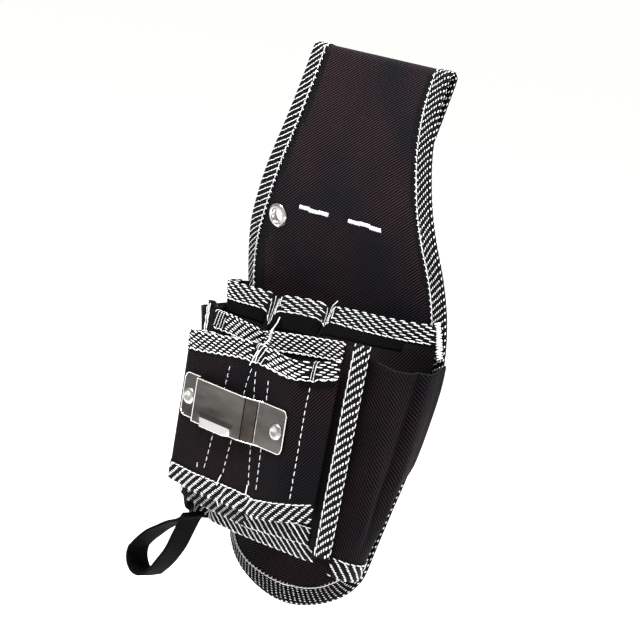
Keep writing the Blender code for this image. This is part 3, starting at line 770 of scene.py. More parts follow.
def back_y(z):
    """Middle surface of the back panel: flat at the hip, curled forward below it and bowed at the neck."""
    z = np.asarray(z, float)
    curl = -CURL_DEPTH * (np.clip(CURL_TOP - z, 0, None) / CURL_TOP) ** 2
    rise = np.clip((z - BOW_START) / (BOW_PEAK - BOW_START), 0, 1)
    bow = -BOW_DEPTH * np.sin(math.pi / 2 * rise) ** 2
    over = np.clip(z - BOW_PEAK, 0, None) / (HEIGHT - FOLD_RADIUS - BOW_PEAK)
    return curl + bow + (BOW_DEPTH + FOLD_Y - FOLD_RADIUS) * over**1.8


def turned_back(x, z):
    """How far the back panel's lower left corner curls outwards (-X) and back (+Y)."""
    share = np.clip((-x - TURN_START) / (ROUND_HALF_WIDTH - TURN_START), 0, 1)
    fade = np.clip((TURN_TOP - z) / (TURN_TOP - ROUND_HEIGHT), 0, 1)
    return -TURN_WIDER * share**2 * fade, TURN_DEPTH * share**3 * fade


class BackSheet:
    """The folded back panel as a flat cut: x across, s along from the flap's lower edge."""

    def __init__(self):
        fold_z = HEIGHT - FOLD_RADIUS
        flap_z = np.linspace(FLAP[0][0], fold_z, 46)[:-1]
        flap_y = smooth_table([(z, y) for z, y, _ in FLAP] + [(fold_z, FOLD_Y + FOLD_RADIUS)], flap_z)
        flap_w = smooth_table([(z, w) for z, _, w in FLAP] + [(fold_z, float(half_width(fold_z)))], flap_z)
        turn = np.linspace(0, math.pi, 13)
        neck_z = np.arange(fold_z - 2.0, ROUND_HEIGHT, -2.0)
        angle = np.radians(np.linspace(90, 3.5, 24))
        low_z = ROUND_HEIGHT - (ROUND_HEIGHT - LOWEST) * np.cos(angle) ** (2 / ROUND_POWER)
        self.z = np.concatenate([flap_z, fold_z + FOLD_RADIUS * np.sin(turn), neck_z, low_z])
        self.y = np.concatenate([flap_y, FOLD_Y + FOLD_RADIUS * np.cos(turn), back_y(neck_z), back_y(low_z)])
        fold_w = np.full(len(turn), half_width(fold_z))
        self.w = np.concatenate([flap_w, fold_w, half_width(neck_z), half_width(low_z)])
        self.s = lengths(np.stack([self.y, self.z], axis=1))
        self.front_start = self.s[len(flap_z) + 12]

    def profile(self, s):
        return np.interp(s, self.s, self.y), np.interp(s, self.s, self.z)

    def normal(self, s):
        """Unit normal that faces out of the front on the neck, and back on the flap."""
        ya, za = self.profile(np.asarray(s) - 1.2)
        yb, zb = self.profile(np.asarray(s) + 1.2)
        dy, dz = yb - ya, zb - za
        size = np.hypot(dy, dz)
        return np.stack([np.zeros_like(dy), dz / size, -dy / size], axis=-1)

    def sag(self, x, s):
        """Soft unevenness of the neck and body, none at the edges."""
        _, z = self.profile(s)
        edge = np.interp(s, self.s, self.w)
        inside = step(1 - np.abs(x) / np.maximum(edge, 1.0), 0.0, 0.35)
        front = step(s, self.front_start, self.front_start + 25)
        soft = 0.55 * waves(x, s, 55, 3) + 0.9 * waves(x * 0.6, s, 110, 4)
        reach = step(z, 170, 195) * (1 - step(z, 232, 250))
        crease = 0.9 * bump(x * 0.75 + (z - 215) * 0.55, 14.0, 9.0) * reach
        return (soft + crease) * inside * front

    def at(self, x, s, lift=0.0):
        """Points on the sheet, raised by `lift` to its outer side."""
        x, s = np.broadcast_arrays(np.asarray(x, float), np.asarray(s, float))
        y, z = self.profile(s)
        wider, deeper = turned_back(x, np.where(s > self.front_start, z, 999.0))
        base = np.stack([x + wider, y + deeper, z], axis=-1)
        return base + self.normal(s) * (self.sag(x, s) + lift)[..., None]

    def facing(self, x, s):
        """Unit normal of the sheet as it lies, curl and all."""
        down = self.at(x, s + 1.0) - self.at(x, s - 1.0)
        return unit(np.cross(down, self.at(x + 0.8, s) - self.at(x - 0.8, s)))

    def s_of(self, z):
        """Length along the cut of a height on the front."""
        front = self.s >= self.front_start
        return np.interp(-np.asarray(z, float), -self.z[front], self.s[front])


def make_back():
    sheet = BackSheet()
    fine = sheet.s[-1] - 45
    s = np.concatenate([np.arange(0, fine, 2.2), sheet.s[sheet.s > fine]])
    w = np.interp(s, sheet.s, sheet.w)
    x = w[:, None] * np.linspace(-1, 1, 61)[None, :]
    along = np.broadcast_to(s[:, None], x.shape)
    centre_x, centre_s = centres(x), centres(along)
    keep = np.hypot(centre_x - EYELET[0], centre_s - sheet.s_of(EYELET[1])) > EYELET_HOLE
    uv = np.stack([x, -along], axis=-1)
    back = cloth("back_cloth", sheet.at(x, along), BACK_THICKNESS, "oxford", uv, keep)
    centre_w = ((w[:-1] + w[1:]) / 2)[:, None]
    selvedge = (np.abs(centre_x) > centre_w - SELVEDGE_REACH) & (centre_s > sheet.front_start)
    add_finishes(back, ["selvedge"], selvedge[keep])
    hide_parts("back_panel")
    make_edge_tape(sheet)
    make_eyelet(sheet)
    make_belt_tacks(sheet)


# Where the edge binding's front leg gets narrower, and its floats on the left side and beyond it
CORNER_HEIGHT, NECK_HEIGHT = 22.0, 178.0
STROKES = {"pitch": 3.9, "shift": 1.25, "length": 1.9, "width": 0.5, "spacing": 1.38, "angle": -46}
DOTS = {"pitch": 3.9, "shift": 1.1, "length": 1.5, "width": 0.52, "spacing": 1.38, "angle": -10}


def edge_outline(sheet):
    """The cut's outline (x, s), from the flap's left corner round the bottom to its right corner."""
    left = np.stack([-sheet.w, sheet.s], axis=1)
    right = np.stack([sheet.w[::-1], sheet.s[::-1]], axis=1)
    both = np.concatenate([left, right])
    outline = resample(both, int(lengths(both)[-1] / 1.5))
    return smoothed(outline, 3)


def make_edge_tape(sheet):
    outline = edge_outline(sheet)
    tangent = unit(np.gradient(outline, axis=0))
    inward = np.stack([tangent[:, 1], -tangent[:, 0]], axis=1)
    edge = sheet.at(outline[:, 0], outline[:, 1])
    inner = outline + inward * 6.0
    inward = sheet.at(inner[:, 0], inner[:, 1]) - edge
    normal = sheet.facing(outline[:, 0] * 0.97, outline[:, 1])
    tape = Tape(edge, inward, smoothed(normal, 3), BACK_THICKNESS)
    corner, neck = (float(tape.lengths[np.argmax(edge[:, 2] < z)]) for z in (CORNER_HEIGHT, NECK_HEIGHT))
    tape.pulls = [(corner + 14.0, 38.0, -0.44), (neck, 34.0, -0.5)]
    tape.body("edge_tape", "edge_binding", "back_cloth")
    yarn = Parts()
    add_floats(yarn, tape, 0.0, corner - 30.0, STROKES)
    add_floats(yarn, tape, corner - 30.0, tape.total, DOTS)
    yarn.object("edge_tape_yarn", "thread")
    thread = Parts()
    add_edge_stitches(thread, tape, tape.reach - 1.3, length=3.4, gap=0.1, width=0.58)
    comb_ticks(thread, tape)
    thread.object("edge_stitches", "thread")


def comb_ticks(parts, tape):
    """Tips of the woven floats that stand just past the stitched line."""
    pitch, inset, lean = 3.7, 0.35, 0.7
    length, width, height = 1.1, 0.5, 0.3
    a = np.arange(2.0, tape.total - 2.0, pitch)
    for side in (1, -1):
        here, out, across = tape.at(a, side * (tape.reach - inset))
        ahead = tape.at(a + 0.5, side * (tape.reach - inset))[0]
        along = across + lean * unit(ahead - here)
        add_grains(parts, here + out * (TAPE_THICKNESS / 2), along, out, length, width, height)


def make_eyelet(sheet):
    s = sheet.s_of(EYELET[1])
    place = sheet.at(EYELET[0], s)
    axis = sheet.normal(s)
    gap = BACK_THICKNESS / 2
    profile = [(4.3, 0.6)]
    profile += [(5.5 - 1.2 * math.cos(a), gap + 0.55 + math.sin(a)) for a in np.linspace(0.0, 1.9, 7)]
    profile += [(7.0, gap + 0.85), (7.4, gap + 0.35), (7.3, gap + 0.02), (4.9, gap - 0.1), (4.9, -gap - 0.6)]
    profile += [(4.9, -gap - 1.0), (4.3, -gap - 1.0)]
    turned("eyelet_ring", profile, place, axis, "nickel", "eyelet")
    back = [(5.2, -gap - 0.02), (7.2, -gap - 0.02), (7.4, -gap - 0.3), (7.0, -gap - 0.75), (5.4, -gap - 0.95)]
    turned("eyelet_back_ring", back, place, axis, "nickel", "eyelet_washer")


def zigzag(parts, place, across, along, out, span, height):
    """A bar tack: close threads across a line, alternately slanted."""
    pitch, width, thickness, lean = 0.74, 0.78, 0.75, 0.22
    count = int(span / pitch)
    offsets = (np.arange(count) - (count - 1) / 2) * pitch
    centres = place + along * offsets[:, None] + out * 0.12
    slant = np.where(np.arange(count) % 2, lean, -lean) + rng.normal(0, 0.05, count)
    directions = across + along * slant[:, None]
    sizes = height * (1 + rng.normal(0, 0.06, count))
    add_grains(parts, centres, directions, np.broadcast_to(out, centres.shape), sizes, width, thickness)


def make_belt_tacks(sheet):
    s = float(sheet.s_of(TACK_HEIGHT))
    out = sheet.normal(s)
    down = unit(sheet.at(0.0, s + 1.2) - sheet.at(0.0, s - 1.2))
    for side, (start, end) in TACK_SPANS.items():
        thread = Parts()
        for k in range(3):
            x0, x1 = start + (end - start) * k / 3, start + (end - start) * (k + 1) / 3
            middle = (x0 + x1) / 2
            place = sheet.at(middle, s + 0.5 * math.sin(middle), BACK_THICKNESS / 2)
            zigzag(thread, place, down, np.array([1.0, 0, 0]), out, x1 - x0 + 0.7, 2.7)
        made = thread.object("belt_tack_" + side + "_thread", "thread")
        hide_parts("belt_tack_" + side)


# ---------------------------------------------------------------- pockets


def through(z, low, middle, high):
    """Values at z on the parabola through three (height, value) pairs."""
    total = 0.0
    pairs = (low, middle, high)
    for i, (zi, value) in enumerate(pairs):
        weight = value
        for j, (zj, _) in enumerate(pairs):
            if i != j:
                weight = weight * (z - zj) / (zi - zj)
        total = total + weight
    return total


def hem_inset(z):
    """How much further in the pockets meet the back panel near the bottom, where its binding shows."""
    return HEM_INSET * min(max((120.0 - z) / 60.0, 0.0), 1.0)


def rear_section(z):
    edge = float(half_width(z)) - REAR_MARGIN - hem_inset(z)
    hem = float(back_y(z)) - SEAM_STANDOFF
    level = min(z, REAR_TOP)
    wider, deeper = (float(v) for v in turned_back(-edge, z))

    def at(bottom, middle, top):
        return through(level, (REAR_BOTTOM, bottom), (REAR_MIDDLE, middle), (REAR_TOP, top))

    corners = [
        (-edge + wider, hem + deeper),
        (at(-50, -67, -79), at(-30, -24, -24)),
        (at(-43, -46, -62), at(-43, -42, -26)),
        (at(-20, -20, -34), at(-44, -42.5, -25.5)),
        (at(18, 14, -6), at(-44, -42.5, -14)),
        (at(46, 46, 40), at(-43, -40, -14)),
        (at(52, 62, 66), at(-30, -22, -12)),
        (edge, hem),
    ]
    return rounded([(x, y, z) for x, y in corners], 11.0)


def between(table, at):
    """Value at a position on straight lines through (position, value) pairs."""
    return np.interp(at, [row[0] for row in table], [row[1] for row in table])


def seam_flange(side, z, reach, offset):
    """Point on a seam: `reach` out along its flange and `offset` behind its middle surface."""
    angle = SEAM_ANGLES[side]
    sign = 1 if side == "right" else -1
    out = np.array([sign * math.cos(angle), math.sin(angle)])
    behind = np.array([-sign * math.sin(angle), math.cos(angle)])
    root = np.interp(z, SEAM_ENDS[side], SEAM_X[side])
    return np.array([sign * root, MIDDLE_Y]) + out * reach + behind * offset


def middle_section(z):
    corners = [seam_flange("left", z, SEAM_REACH, -PLY_OFFSET), seam_flange("left", z, 0.0, -PLY_OFFSET)]
    corners += [seam_flange("right", z, 0.0, -PLY_OFFSET), seam_flange("right", z, SEAM_REACH, -PLY_OFFSET)]
    return rounded([(x, y, z) for x, y in corners], 3.0)


def front_section(z):
    end = np.interp(z, (FRONT_LOWS[-1][1], FRONT_TOPS[-1][1]), FRONT_RIGHT)
    corners = [(-46, -55.2), (-55, -57), (-59, FRONT_Y), (34, FRONT_Y), (44, -60.5), (end, -55.6)]
    return rounded([(x, y, z) for x, y in corners], 5.0)


def side_section(side, z):
    sign = 1 if side == "right" else -1
    lower, half, upper = SIDE_EXTRA[side]
    wrapped = float(step(z, 78.0, 104.0))
    edge = sign * (float(half_width(z)) + 2.4 + 0.2 * wrapped - hem_inset(z) * (1 - wrapped))
    wider, deeper = (float(v) for v in turned_back(edge, z))

    def at(bottom, middle, top):
        return through(z, (SIDE_BOTTOM, bottom), (SIDE_MIDDLE, middle), (SIDE_TOP, top))

    corners = [
        (edge + wider, float(back_y(z)) - SEAM_STANDOFF * (1 - 0.95 * wrapped) + deeper),
        (sign * at(62 + lower, 77 + half, 86.5 + upper), at(-20, -16, -14)),
        (sign * at(64 + lower, 76 + half, 85 + upper), at(-31, -30, -32)),
        tuple(seam_flange(side, z, SEAM_REACH + at(0, 3.0, 5.0), 7.0)),
        tuple(seam_flange(side, z, 4.0, 5.4)),
        tuple(seam_flange(side, z, -1.2, 3.2)),
        tuple(seam_flange(side, z, 0.0, PLY_OFFSET)),
        tuple(seam_flange(side, z, SEAM_REACH, PLY_OFFSET)),
    ]
    return rounded([(x, y, z) for x, y in corners], 9.0)


SECTION_LEVELS = 24


class Panel:
    """A pocket's cloth as a grid: rows from its lower to its upper edge, columns from left to right."""

    def __init__(self, section, low, high, columns, rows, wrinkle, sign=1.0):
        self.shares = np.linspace(0, 1, columns)
        tops, bottoms = high(self.shares), low(self.shares)
        levels = np.linspace(min(bottoms), max(tops), SECTION_LEVELS)
        table = np.array([resample(section(float(z)), columns) for z in levels])
        flat = np.zeros((rows, columns, 3))
        for k in range(columns):
            flat[:, k, 2] = np.linspace(bottoms[k], tops[k], rows)
            for n in range(2):
                flat[:, k, n] = np.interp(flat[:, k, 2], levels, table[:, k, n])
        self.length = lengths(table[SECTION_LEVELS // 2])[-1]
        self.grid = flat + grid_normals(flat, sign) * wrinkle(flat, self.shares)[..., None]
        self.normals = grid_normals(self.grid, sign)
        across = np.broadcast_to(self.shares[None, :] * self.length, (rows, columns))
        self.uv = np.stack([across, self.grid[..., 2]], axis=-1)

    def make(self, name, replaces):
        # the pockets get the darker copy of the oxford: painted shade
        made = cloth(name, self.grid, CLOTH_THICKNESS, "pocket_oxford_shaded", self.uv)
        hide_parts(replaces)

    def tape(self, top, first, last):
        """Binding round the upper or lower edge, between two shares of its length."""
        keep = np.flatnonzero((self.shares >= first) & (self.shares <= last))
        row, inner = (-1, -4) if top else (0, 3)
        edge = self.grid[row, keep]
        inward = unit(self.grid[inner, keep] - edge)
        normal = (self.normals[row, keep] + self.normals[inner, keep]) / 2
        return Tape(edge, smoothed(inward, 3), smoothed(normal, 3), CLOTH_THICKNESS)

    def at(self, share, z):
        """Point and normal of the panel at a share of its length and a height."""
        column = share * (len(self.shares) - 1)
        k = int(np.clip(math.floor(column), 0, len(self.shares) - 2))
        t = column - k
        points = self.grid[:, k] * (1 - t) + self.grid[:, k + 1] * t
        normals = self.normals[:, k] * (1 - t) + self.normals[:, k + 1] * t
        return spread(z, points[:, 2], points), unit(spread(z, points[:, 2], normals))

    def share_at(self, x, z):
        """The share of the panel's length whose point at height z has this x."""
        row = int(np.argmin(np.abs(self.grid[:, len(self.shares) // 2, 2] - z)))
        return float(np.interp(x, self.grid[row, :, 0], self.shares))


# Patterns of woven floats, as changes to PATTERN
LONG = {"length": 4.4, "width": 0.7, "angle": 0.0}
DOWN = {"shift": -2.9, "pitch": 7.3, "angle": 4, "spacing": 1.28, "length": 4.3, "width": 0.58, "fold": LONG}
CLOSE = {"pitch": 4.8, "shift": 1.45, "length": 2.7, "width": 0.6, "fold": {"length": 3.6}}
WIDE = {"pitch": 6.6, "shift": 2.0, "length": 4.0, "width": 0.66, "spacing": 1.4, "fold": LONG}
COMB = {"shift": -0.95, "pitch": 5.3, "angle": -10, "length": 2.0, "width": 0.52, "spacing": 0.98}
FALLING = {"shift": 1.3, "pitch": 5.2, "angle": -24, "length": 2.8, "width": 0.54, "spacing": 1.05}
GATHERED = {"shift": 0.4, "pitch": 2.35, "angle": -68, "length": 1.6, "width": 0.5}
FANNED = {"shift": 0.8, "pitch": 3.1, "angle": -56, "length": 1.7, "width": 0.52}
UPRIGHT = {"shift": 0.12, "pitch": 2.3, "angle": -84, "length": 1.4, "width": 0.5}
PINCHED = {"shift": -0.4, "pitch": 2.5, "angle": 70, "length": 1.6, "width": 0.52}


def bound(name, tape, node, zones, stitch=3.6, cups=0.0):
    """A tape with its woven floats, given as (start, end, pattern) zones, and its two rows of stitches,
    which hang in cups of that width or, at 0, run straight."""
    tape.body(name + "_tape", node, name.split("_")[0] + "_cloth")
    yarn = Parts()
    for start, end, pattern in zones:
        add_floats(yarn, tape, start, end, pattern)
    yarn.object(name + "_yarn", "thread")
    thread = Parts()
    if cups:
        add_scallops(thread, tape, cups, tape.reach - 0.9)
    else:
        add_edge_stitches(thread, tape, tape.reach - 1.0, length=stitch, gap=0.2, width=0.55)
    thread.object(name + "_stitches", "thread")


BAND_START, BAND_LIFT, BAND_THICKNESS = 8.5, 0.8, 0.5


def ribbed_band(name, panel, first_x, last_x, height):
    """Black ribbed tape that shows below a binding."""
    keep = np.flatnonzero((panel.grid[-1, :, 0] >= first_x) & (panel.grid[-1, :, 0] <= last_x))
    levels = np.linspace(BAND_START, TAPE_WIDTH + height, 8)
    grid = np.zeros((len(levels), len(keep), 3))
    for j, k in enumerate(keep):
        column, normals = panel.grid[:, k], panel.normals[:, k]
        z = column[-1, 2] - levels
        grid[:, j] = spread(z, column[:, 2], column) + unit(spread(z, column[:, 2], normals)) * BAND_LIFT
    along = lengths(grid[0])
    uv = np.stack(np.broadcast_arrays(along[None, :], -levels[:, None]), axis=-1)
    return cloth(name, grid, BAND_THICKNESS, "webbing", uv)


def rear_wrinkle(grid, shares):
    x, z = grid[..., 0], grid[..., 2]
    top = step(z, REAR_TOP - 45, REAR_TOP + 2)
    first, second = REAR_TACKS
    gathers = ((-2.6, first, 3.0), (-2.08, second, 2.6), (1.6, (first + second) / 2, 9))
    gathers = bumps(x, (*gathers, (1.6, first - 13, 7), (0.96, second + 14, 9))) * top
    low = 0.8 * waves(x, z * 0.5, 42, 11)
    fade = step(shares, 0.0, 0.06)[None] * (1 - step(shares, 0.94, 1.0))[None]
    return (gathers + low) * fade


def make_rear_pocket():
    panel = Panel(
        rear_section,
        lambda t: np.full_like(t, REAR_BOTTOM),
        lambda t: REAR_TOP + REAR_RISE * t**2,
        161,
        46,
        rear_wrinkle,
    )
    for x, dip in zip(REAR_TACKS, (2.6, 1.6)):
        dips = dip * bump(panel.grid[-1, :, 0], x, 3.2)
        panel.grid[-12:, :, 2] -= dips[None] * np.linspace(0, 1, 12)[:, None]
    first_x, second_x = REAR_TACKS
    bands = [
        ribbed_band("rear_ribbed_left", panel, -74.0, first_x - 3.0, 5.5),
        ribbed_band("rear_ribbed_middle", panel, first_x + 1.5, second_x - 1.0, 7.5),
        ribbed_band("rear_ribbed_right", panel, second_x + 1.5, 60.0, 4.5),
    ]
    panel.make("rear_cloth", "rear_pocket_panel")
    top = panel.tape(True, 0.03, 1.0)
    first, second = top.at_x(first_x), top.at_x(second_x)
    top.pulls = [(first, 3.6, 0.62), (second + 1.5, 3.2, 0.2)]
    zones = [(0.0, first - 5.5, DOWN), (first - 5.5, first + 6.0, PINCHED), (first + 6.0, second - 3.6, DOWN)]
    zones += [(second - 3.6, second + 6.6, PINCHED), (second + 6.6, top.total, DOWN)]
    bound("rear_top", top, "rear_pocket_top_binding", zones, stitch=4.2)
    bottom = panel.tape(False, 0.2, 0.8)
    bound("rear_bottom", bottom, "rear_pocket_bottom_binding", [(0.0, bottom.total, FALLING)])
    return panel


def middle_wrinkle(grid, shares):
    x, z = grid[..., 0], grid[..., 2]
    inside = step(shares, 0.12, 0.2)[None] * (1 - step(shares, 0.8, 0.88))[None]
    top = step(z, 135, 162)
    pinch = bumps(x, ((-2.2, MIDDLE_TACK, 3.0), (1.2, -28, 9), (1.2, 4, 10))) * top
    return (0.7 * waves(x, z, 60, 21) + pinch) * inside


def make_middle_pocket():
    def x_at(t):
        return -66.0 + 132.0 * t

    panel = Panel(
        middle_section,
        lambda t: between(MIDDLE_LOWS, x_at(t)),
        lambda t: smooth_table(MIDDLE_TOPS, x_at(t)) - 1.6 * bump(x_at(t), MIDDLE_TACK, 3),
        111,
        40,
        middle_wrinkle,
    )
    panel.make("middle_cloth", "middle_pocket_panel")
    top = panel.tape(True, 0.1, 0.905)
    pinch = top.at_x(MIDDLE_TACK)
    top.pulls = [(pinch, 2.6, 0.15)]
    zones = [(0.0, 9.5, GATHERED), (9.5, pinch, CLOSE), (pinch, top.total, {"fold": LONG})]
    bound("middle_top", top, "middle_pocket_top_binding", zones, cups=5.0)
    bottom = panel.tape(False, 0.1, 0.905)
    half = 0.48 * bottom.total
    zones = [(0.0, half, COMB), (half, bottom.total, FALLING)]
    bound("middle_bottom", bottom, "middle_pocket_bottom_binding", zones)


def front_wrinkle(grid, shares):
    x, z = grid[..., 0], grid[..., 2]
    inside = step(shares, 0.08, 0.2)[None] * (1 - step(shares, 0.9, 0.97))[None]
    top = step(z, 128, 152)
    pinch = bumps(x, ((-2.0, FRONT_TACKS[0], 2.8), (1.4, 22.0, 9.0), (-1.5, FRONT_TACKS[1], 2.4))) * top
    low = 1 - step(z, 62, 84)
    pinch += bumps(x, ((1.2, -33, 10), (-1.4, -12, 3), (-1.8, 9, 3), (1.0, 26, 8))) * low
    return (0.45 * waves(x, z, 70, 31) * step(x, 33, 15) + pinch) * inside


def front_edge(smooth, table):
    """Height of an edge by its share of the panel's length: level round the left end, then by x."""
    corners = front_section(110.0)
    x, along = corners[:, 0], lengths(corners)
    left = along[int(np.argmin(x))]

    def height(t):
        reached = t * along[-1]
        return np.where(reached < left, table[0][1], smooth(table, np.interp(reached, along, x)))

    return height


def make_front_pocket():
    low, high = front_edge(between, FRONT_LOWS), front_edge(smooth_table, FRONT_TOPS)
    panel = Panel(front_section, low, high, 131, 40, front_wrinkle)
    band = ribbed_band("front_ribbed", panel, 36.0, 54.0, 3.0)
    panel.make("front_cloth", "front_pocket_panel")
    top = panel.tape(True, 0.0, 1.0)
    behind = (top.edge[:, 1] > -60) * 99
    pinch, tack = (float(top.lengths[np.argmin(np.abs(top.edge[:, 0] - x) + behind)]) for x in FRONT_TACKS)
    top.pulls = [(pinch, 2.6, 0.12), (tack, 2.2, 0.1)]
    zones = [(0.0, pinch - 1.0, {"fold": LONG}), (pinch - 1.0, pinch + 11.0, FANNED)]
    zones += [(pinch + 11.0, tack - 2.6, WIDE), (tack - 2.6, tack + 2.8, UPRIGHT)]
    zones += [(tack + 2.8, top.total, WIDE)]
    bound("front_top", top, "front_pocket_top_binding", zones, cups=5.6)
    bottom = panel.tape(False, 0.0, 1.0)
    bound("front_bottom", bottom, "front_pocket_bottom_binding", [(0.0, bottom.total, COMB)])
    return panel


HEM_LIFT, HEM_RADIUS = 0.3, 0.38


def side_wrinkle(grid, shares, seed):
    z = grid[..., 2]
    share = shares[None]
    folds = 1.7 * waves(share * 80, z * 0.16, 30, seed)
    folds -= 2.6 * bump(share + (z - 100) * 0.0009, 0.34, 0.035)
    folds += 1.8 * bump(share, 0.24, 0.05)
    folds += 1.6 * bump(share - (z - 100) * 0.0006, 0.46, 0.05)
    return folds * step(z, 48.0, 78.0) * step(share, 0.05, 0.2) * (1 - step(share, 0.55, 0.7))


def make_side_pocket(side, seed, sign):
    def low(t):
        i = t * 49
        end = np.where(i > 12, SIDE_SEAM_END[side], 46.5)
        return np.minimum(SIDE_BOTTOM + 0.012 * (i - 12) ** 2, end)

    def high(t):
        return SIDE_TOP - 5.0 * np.sin(math.pi * np.clip(t / 0.75, 0, 1)) + 3.0 * t

    def wrinkle(grid, shares):
        return side_wrinkle(grid, shares, seed)

    panel = Panel(lambda z: side_section(side, z), low, high, 101, 56, wrinkle, sign)
    panel.make(side + "_cloth", side + "_pocket_panel")
    tape = panel.tape(False, 0.05, 0.62)
    falling = {**COMB, "shift": -1.0, "angle": -COMB["angle"]}
    bound(side + "_bottom", tape, side + "_pocket_bottom_binding", [(0.0, tape.total, falling)])
    hem = Parts()
    seen = slice(6, 66)
    add_tube(hem, panel.grid[-1, seen] + panel.normals[-1, seen] * HEM_LIFT, HEM_RADIUS)
    hem.object(side + "_hem_edge", "hem")


LEAN = {"shift": 1.3, "pitch": 4.9, "length": 2.1, "angle": -4, "width": 0.68, "spacing": 1.42}
LEAN["fold"] = {"length": 3.2, "width": 0.55, "angle": -12}


def make_seam(side):
    z = np.linspace(*SEAM_ENDS[side], 80)
    edge = np.array([[*seam_flange(side, level, SEAM_REACH, 0.0), level] for level in z])
    root = np.array([[*seam_flange(side, level, 0.0, 0.0), level] for level in z])
    ahead = seam_flange(side, 100.0, 0.0, -1.0) - seam_flange(side, 100.0, 0.0, 0.0)
    normal = np.tile(np.array([*ahead, 0.0]), (len(z), 1))
    tape = Tape(edge, root - edge, normal, 2 * PLY_OFFSET + CLOTH_THICKNESS, SEAM_TAPE_WIDTH)
    bound(side + "_seam", tape, side + "_seam_binding", [(0.0, tape.total, LEAN)], stitch=5.2)


# ---------------------------------------------------------------- tape holder


def column_at(grid, x):
    return int(np.argmin(np.abs(grid[0, :, 0] - x)))


def make_clip_edges(grid):
    """The cut edge all round the plate, bright as bare steel with a painted highlight; a painted highlight
    along the raised part's left edge; and the lines of its bends: painted shade along the crease and beside
    the foot's bend, a painted highlight along the foot.
    """
    out = np.array([0.0, -CLIP_THICKNESS / 2, 0.0])
    raised = int(np.argmax(grid[0, :, 0] > CLIP_STEP + 1.1))
    crease, foot = column_at(grid, CLIP_CREASE), column_at(grid, CLIP_FOOT - 2.4)
    border = np.concatenate([grid[0], grid[1:, -1], grid[-1, ::-1][1:], grid[::-1, 0][1:]])
    edges = Parts()
    # the border: bare cut edge with a painted highlight; the raised part's left edge: painted highlight
    add_tube(edges, border + out * 0.8, 0.34)
    add_tube(edges, grid[:, raised] + out, 0.3)
    edges.object("tape_holder_edges", "bright")
    # painted shade: dark tubes along the crease and beside the foot's bend; painted highlight: a nickel tube
    # on the foot
    bends = ((crease, 0.36, "dark_steel"), (foot - 2, 0.34, "dark_steel"), (foot, 0.34, "nickel"))
    for column, radius, finish in bends:
        line = Parts()
        add_tube(line, grid[1:-1, column] + out * 0.9, radius)
        line.object("tape_holder_bend_%d" % column, finish)


def clip_shape():
    """The pressed plate as a grid, bottom to top and left to right, with how far its lip flares out."""
    x = np.concatenate([np.arange(CLIP_LEFT, CLIP_RIGHT, 1.0), [CLIP_RIGHT]])
    x = np.unique(np.concatenate([x, np.arange(-41, -38, 0.25), np.arange(0, 14, 0.4)]))
    v = np.concatenate([np.linspace(0, 0.3, 14), np.linspace(0.34, 0.9, 10), np.linspace(0.92, 1, 5)])
    inset_from = np.minimum(x - CLIP_LEFT, CLIP_RIGHT - x)
    arc = np.sqrt(np.clip(CLIP_CORNER**2 - (CLIP_CORNER - inset_from) ** 2, 0, None))
    inset = np.where(inset_from < CLIP_CORNER, CLIP_CORNER - arc, 0)
    tilt = -(x - CLIP_RIGHT) * CLIP_TILT
    low, high = CLIP_BOTTOM + tilt + inset, CLIP_TOP + tilt - inset
    z = low[None] + (high - low)[None] * v[:, None]
    xs = np.broadcast_to(x[None], z.shape)
    raised = CLIP_RAISE * step(xs, CLIP_STEP - 0.6, CLIP_STEP + 1.2)
    slope = np.clip((CLIP_FOOT - xs) / (CLIP_FOOT - CLIP_CREASE), 0, 1)
    raised = raised * np.where(xs > CLIP_CREASE, slope, 1.0)
    creases = ((-0.55, CLIP_CREASE, 0.8), (0.35, CLIP_CREASE + 4.0, 0.9), (0.3, CLIP_CREASE + 7.5, 0.8))
    raised += bumps(xs, creases)
    from_bottom = np.clip(1 - (z - tilt[None] - CLIP_BOTTOM) / LIP_HEIGHT, 0, 1)
    end = LIP_HALF_WIDTH - 3.5 * from_bottom
    flare = CLIP_LIP * from_bottom**1.4 * (1 - step(np.abs(xs - LIP_X), end, end + 3.0))
    return np.stack([xs, CLIP_Y - raised - flare, z], axis=-1), flare


def make_plate():
    grid, flare = clip_shape()
    made = piece("tape_holder_plate", grid, grid_faces(*grid.shape[:2]), "steel")
    x = centres(grid[..., 0])
    # painted shade: the slope right of the crease takes the darker copy of the plate finish
    slope = (x > CLIP_CREASE + 0.4) & (x < CLIP_FOOT - 3.0)
    # painted highlight: the flared lip, which faces up into the light, takes the bright finish
    add_finishes(made, ["bright", "shaded_steel"], np.where(centres(flare) > 0.8, 1, np.where(slope, 2, 0)))
    thicken(made, CLIP_THICKNESS)
    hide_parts("tape_holder_clip")
    bevel = made.modifiers.new("edges", "BEVEL")
    bevel.width = 0.22 * MM
    bevel.segments = 2
    bevel.limit_method = "ANGLE"
    bevel.angle_limit = math.radians(60)
    make_clip_edges(grid)


def make_rivets():
    base = CLIP_THICKNESS / 2 + 0.05
    profile = [(0.0, base + 1.0), (1.6, base + 0.95), (2.3, base + 1.5), (3.3, base + 1.55)]
    profile += [(4.4, base + 1.0), (4.9, base + 0.35), (4.85, base), (2.1, base - 0.2), (2.1, -3.0)]
    profile += [(0.0, -3.0)]
    back = -(CLIP_THICKNESS / 2 + 0.3 + CLOTH_THICKNESS + 0.3)
    washer = [(2.4, back), (4.4, back), (4.6, back - 0.3), (4.3, back - 0.8), (2.4, back - 0.8)]
    for side, (x, z) in RIVETS.items():
        place = (x, CLIP_Y, z)
        turned("rivet_" + side, profile, place, (0, -1, 0), "nickel", "clip_rivet_" + side)
        turned("rivet_washer_" + side, washer, place, (0, -1, 0), "steel", "clip_washer_" + side)


# ---------------------------------------------------------------- strap


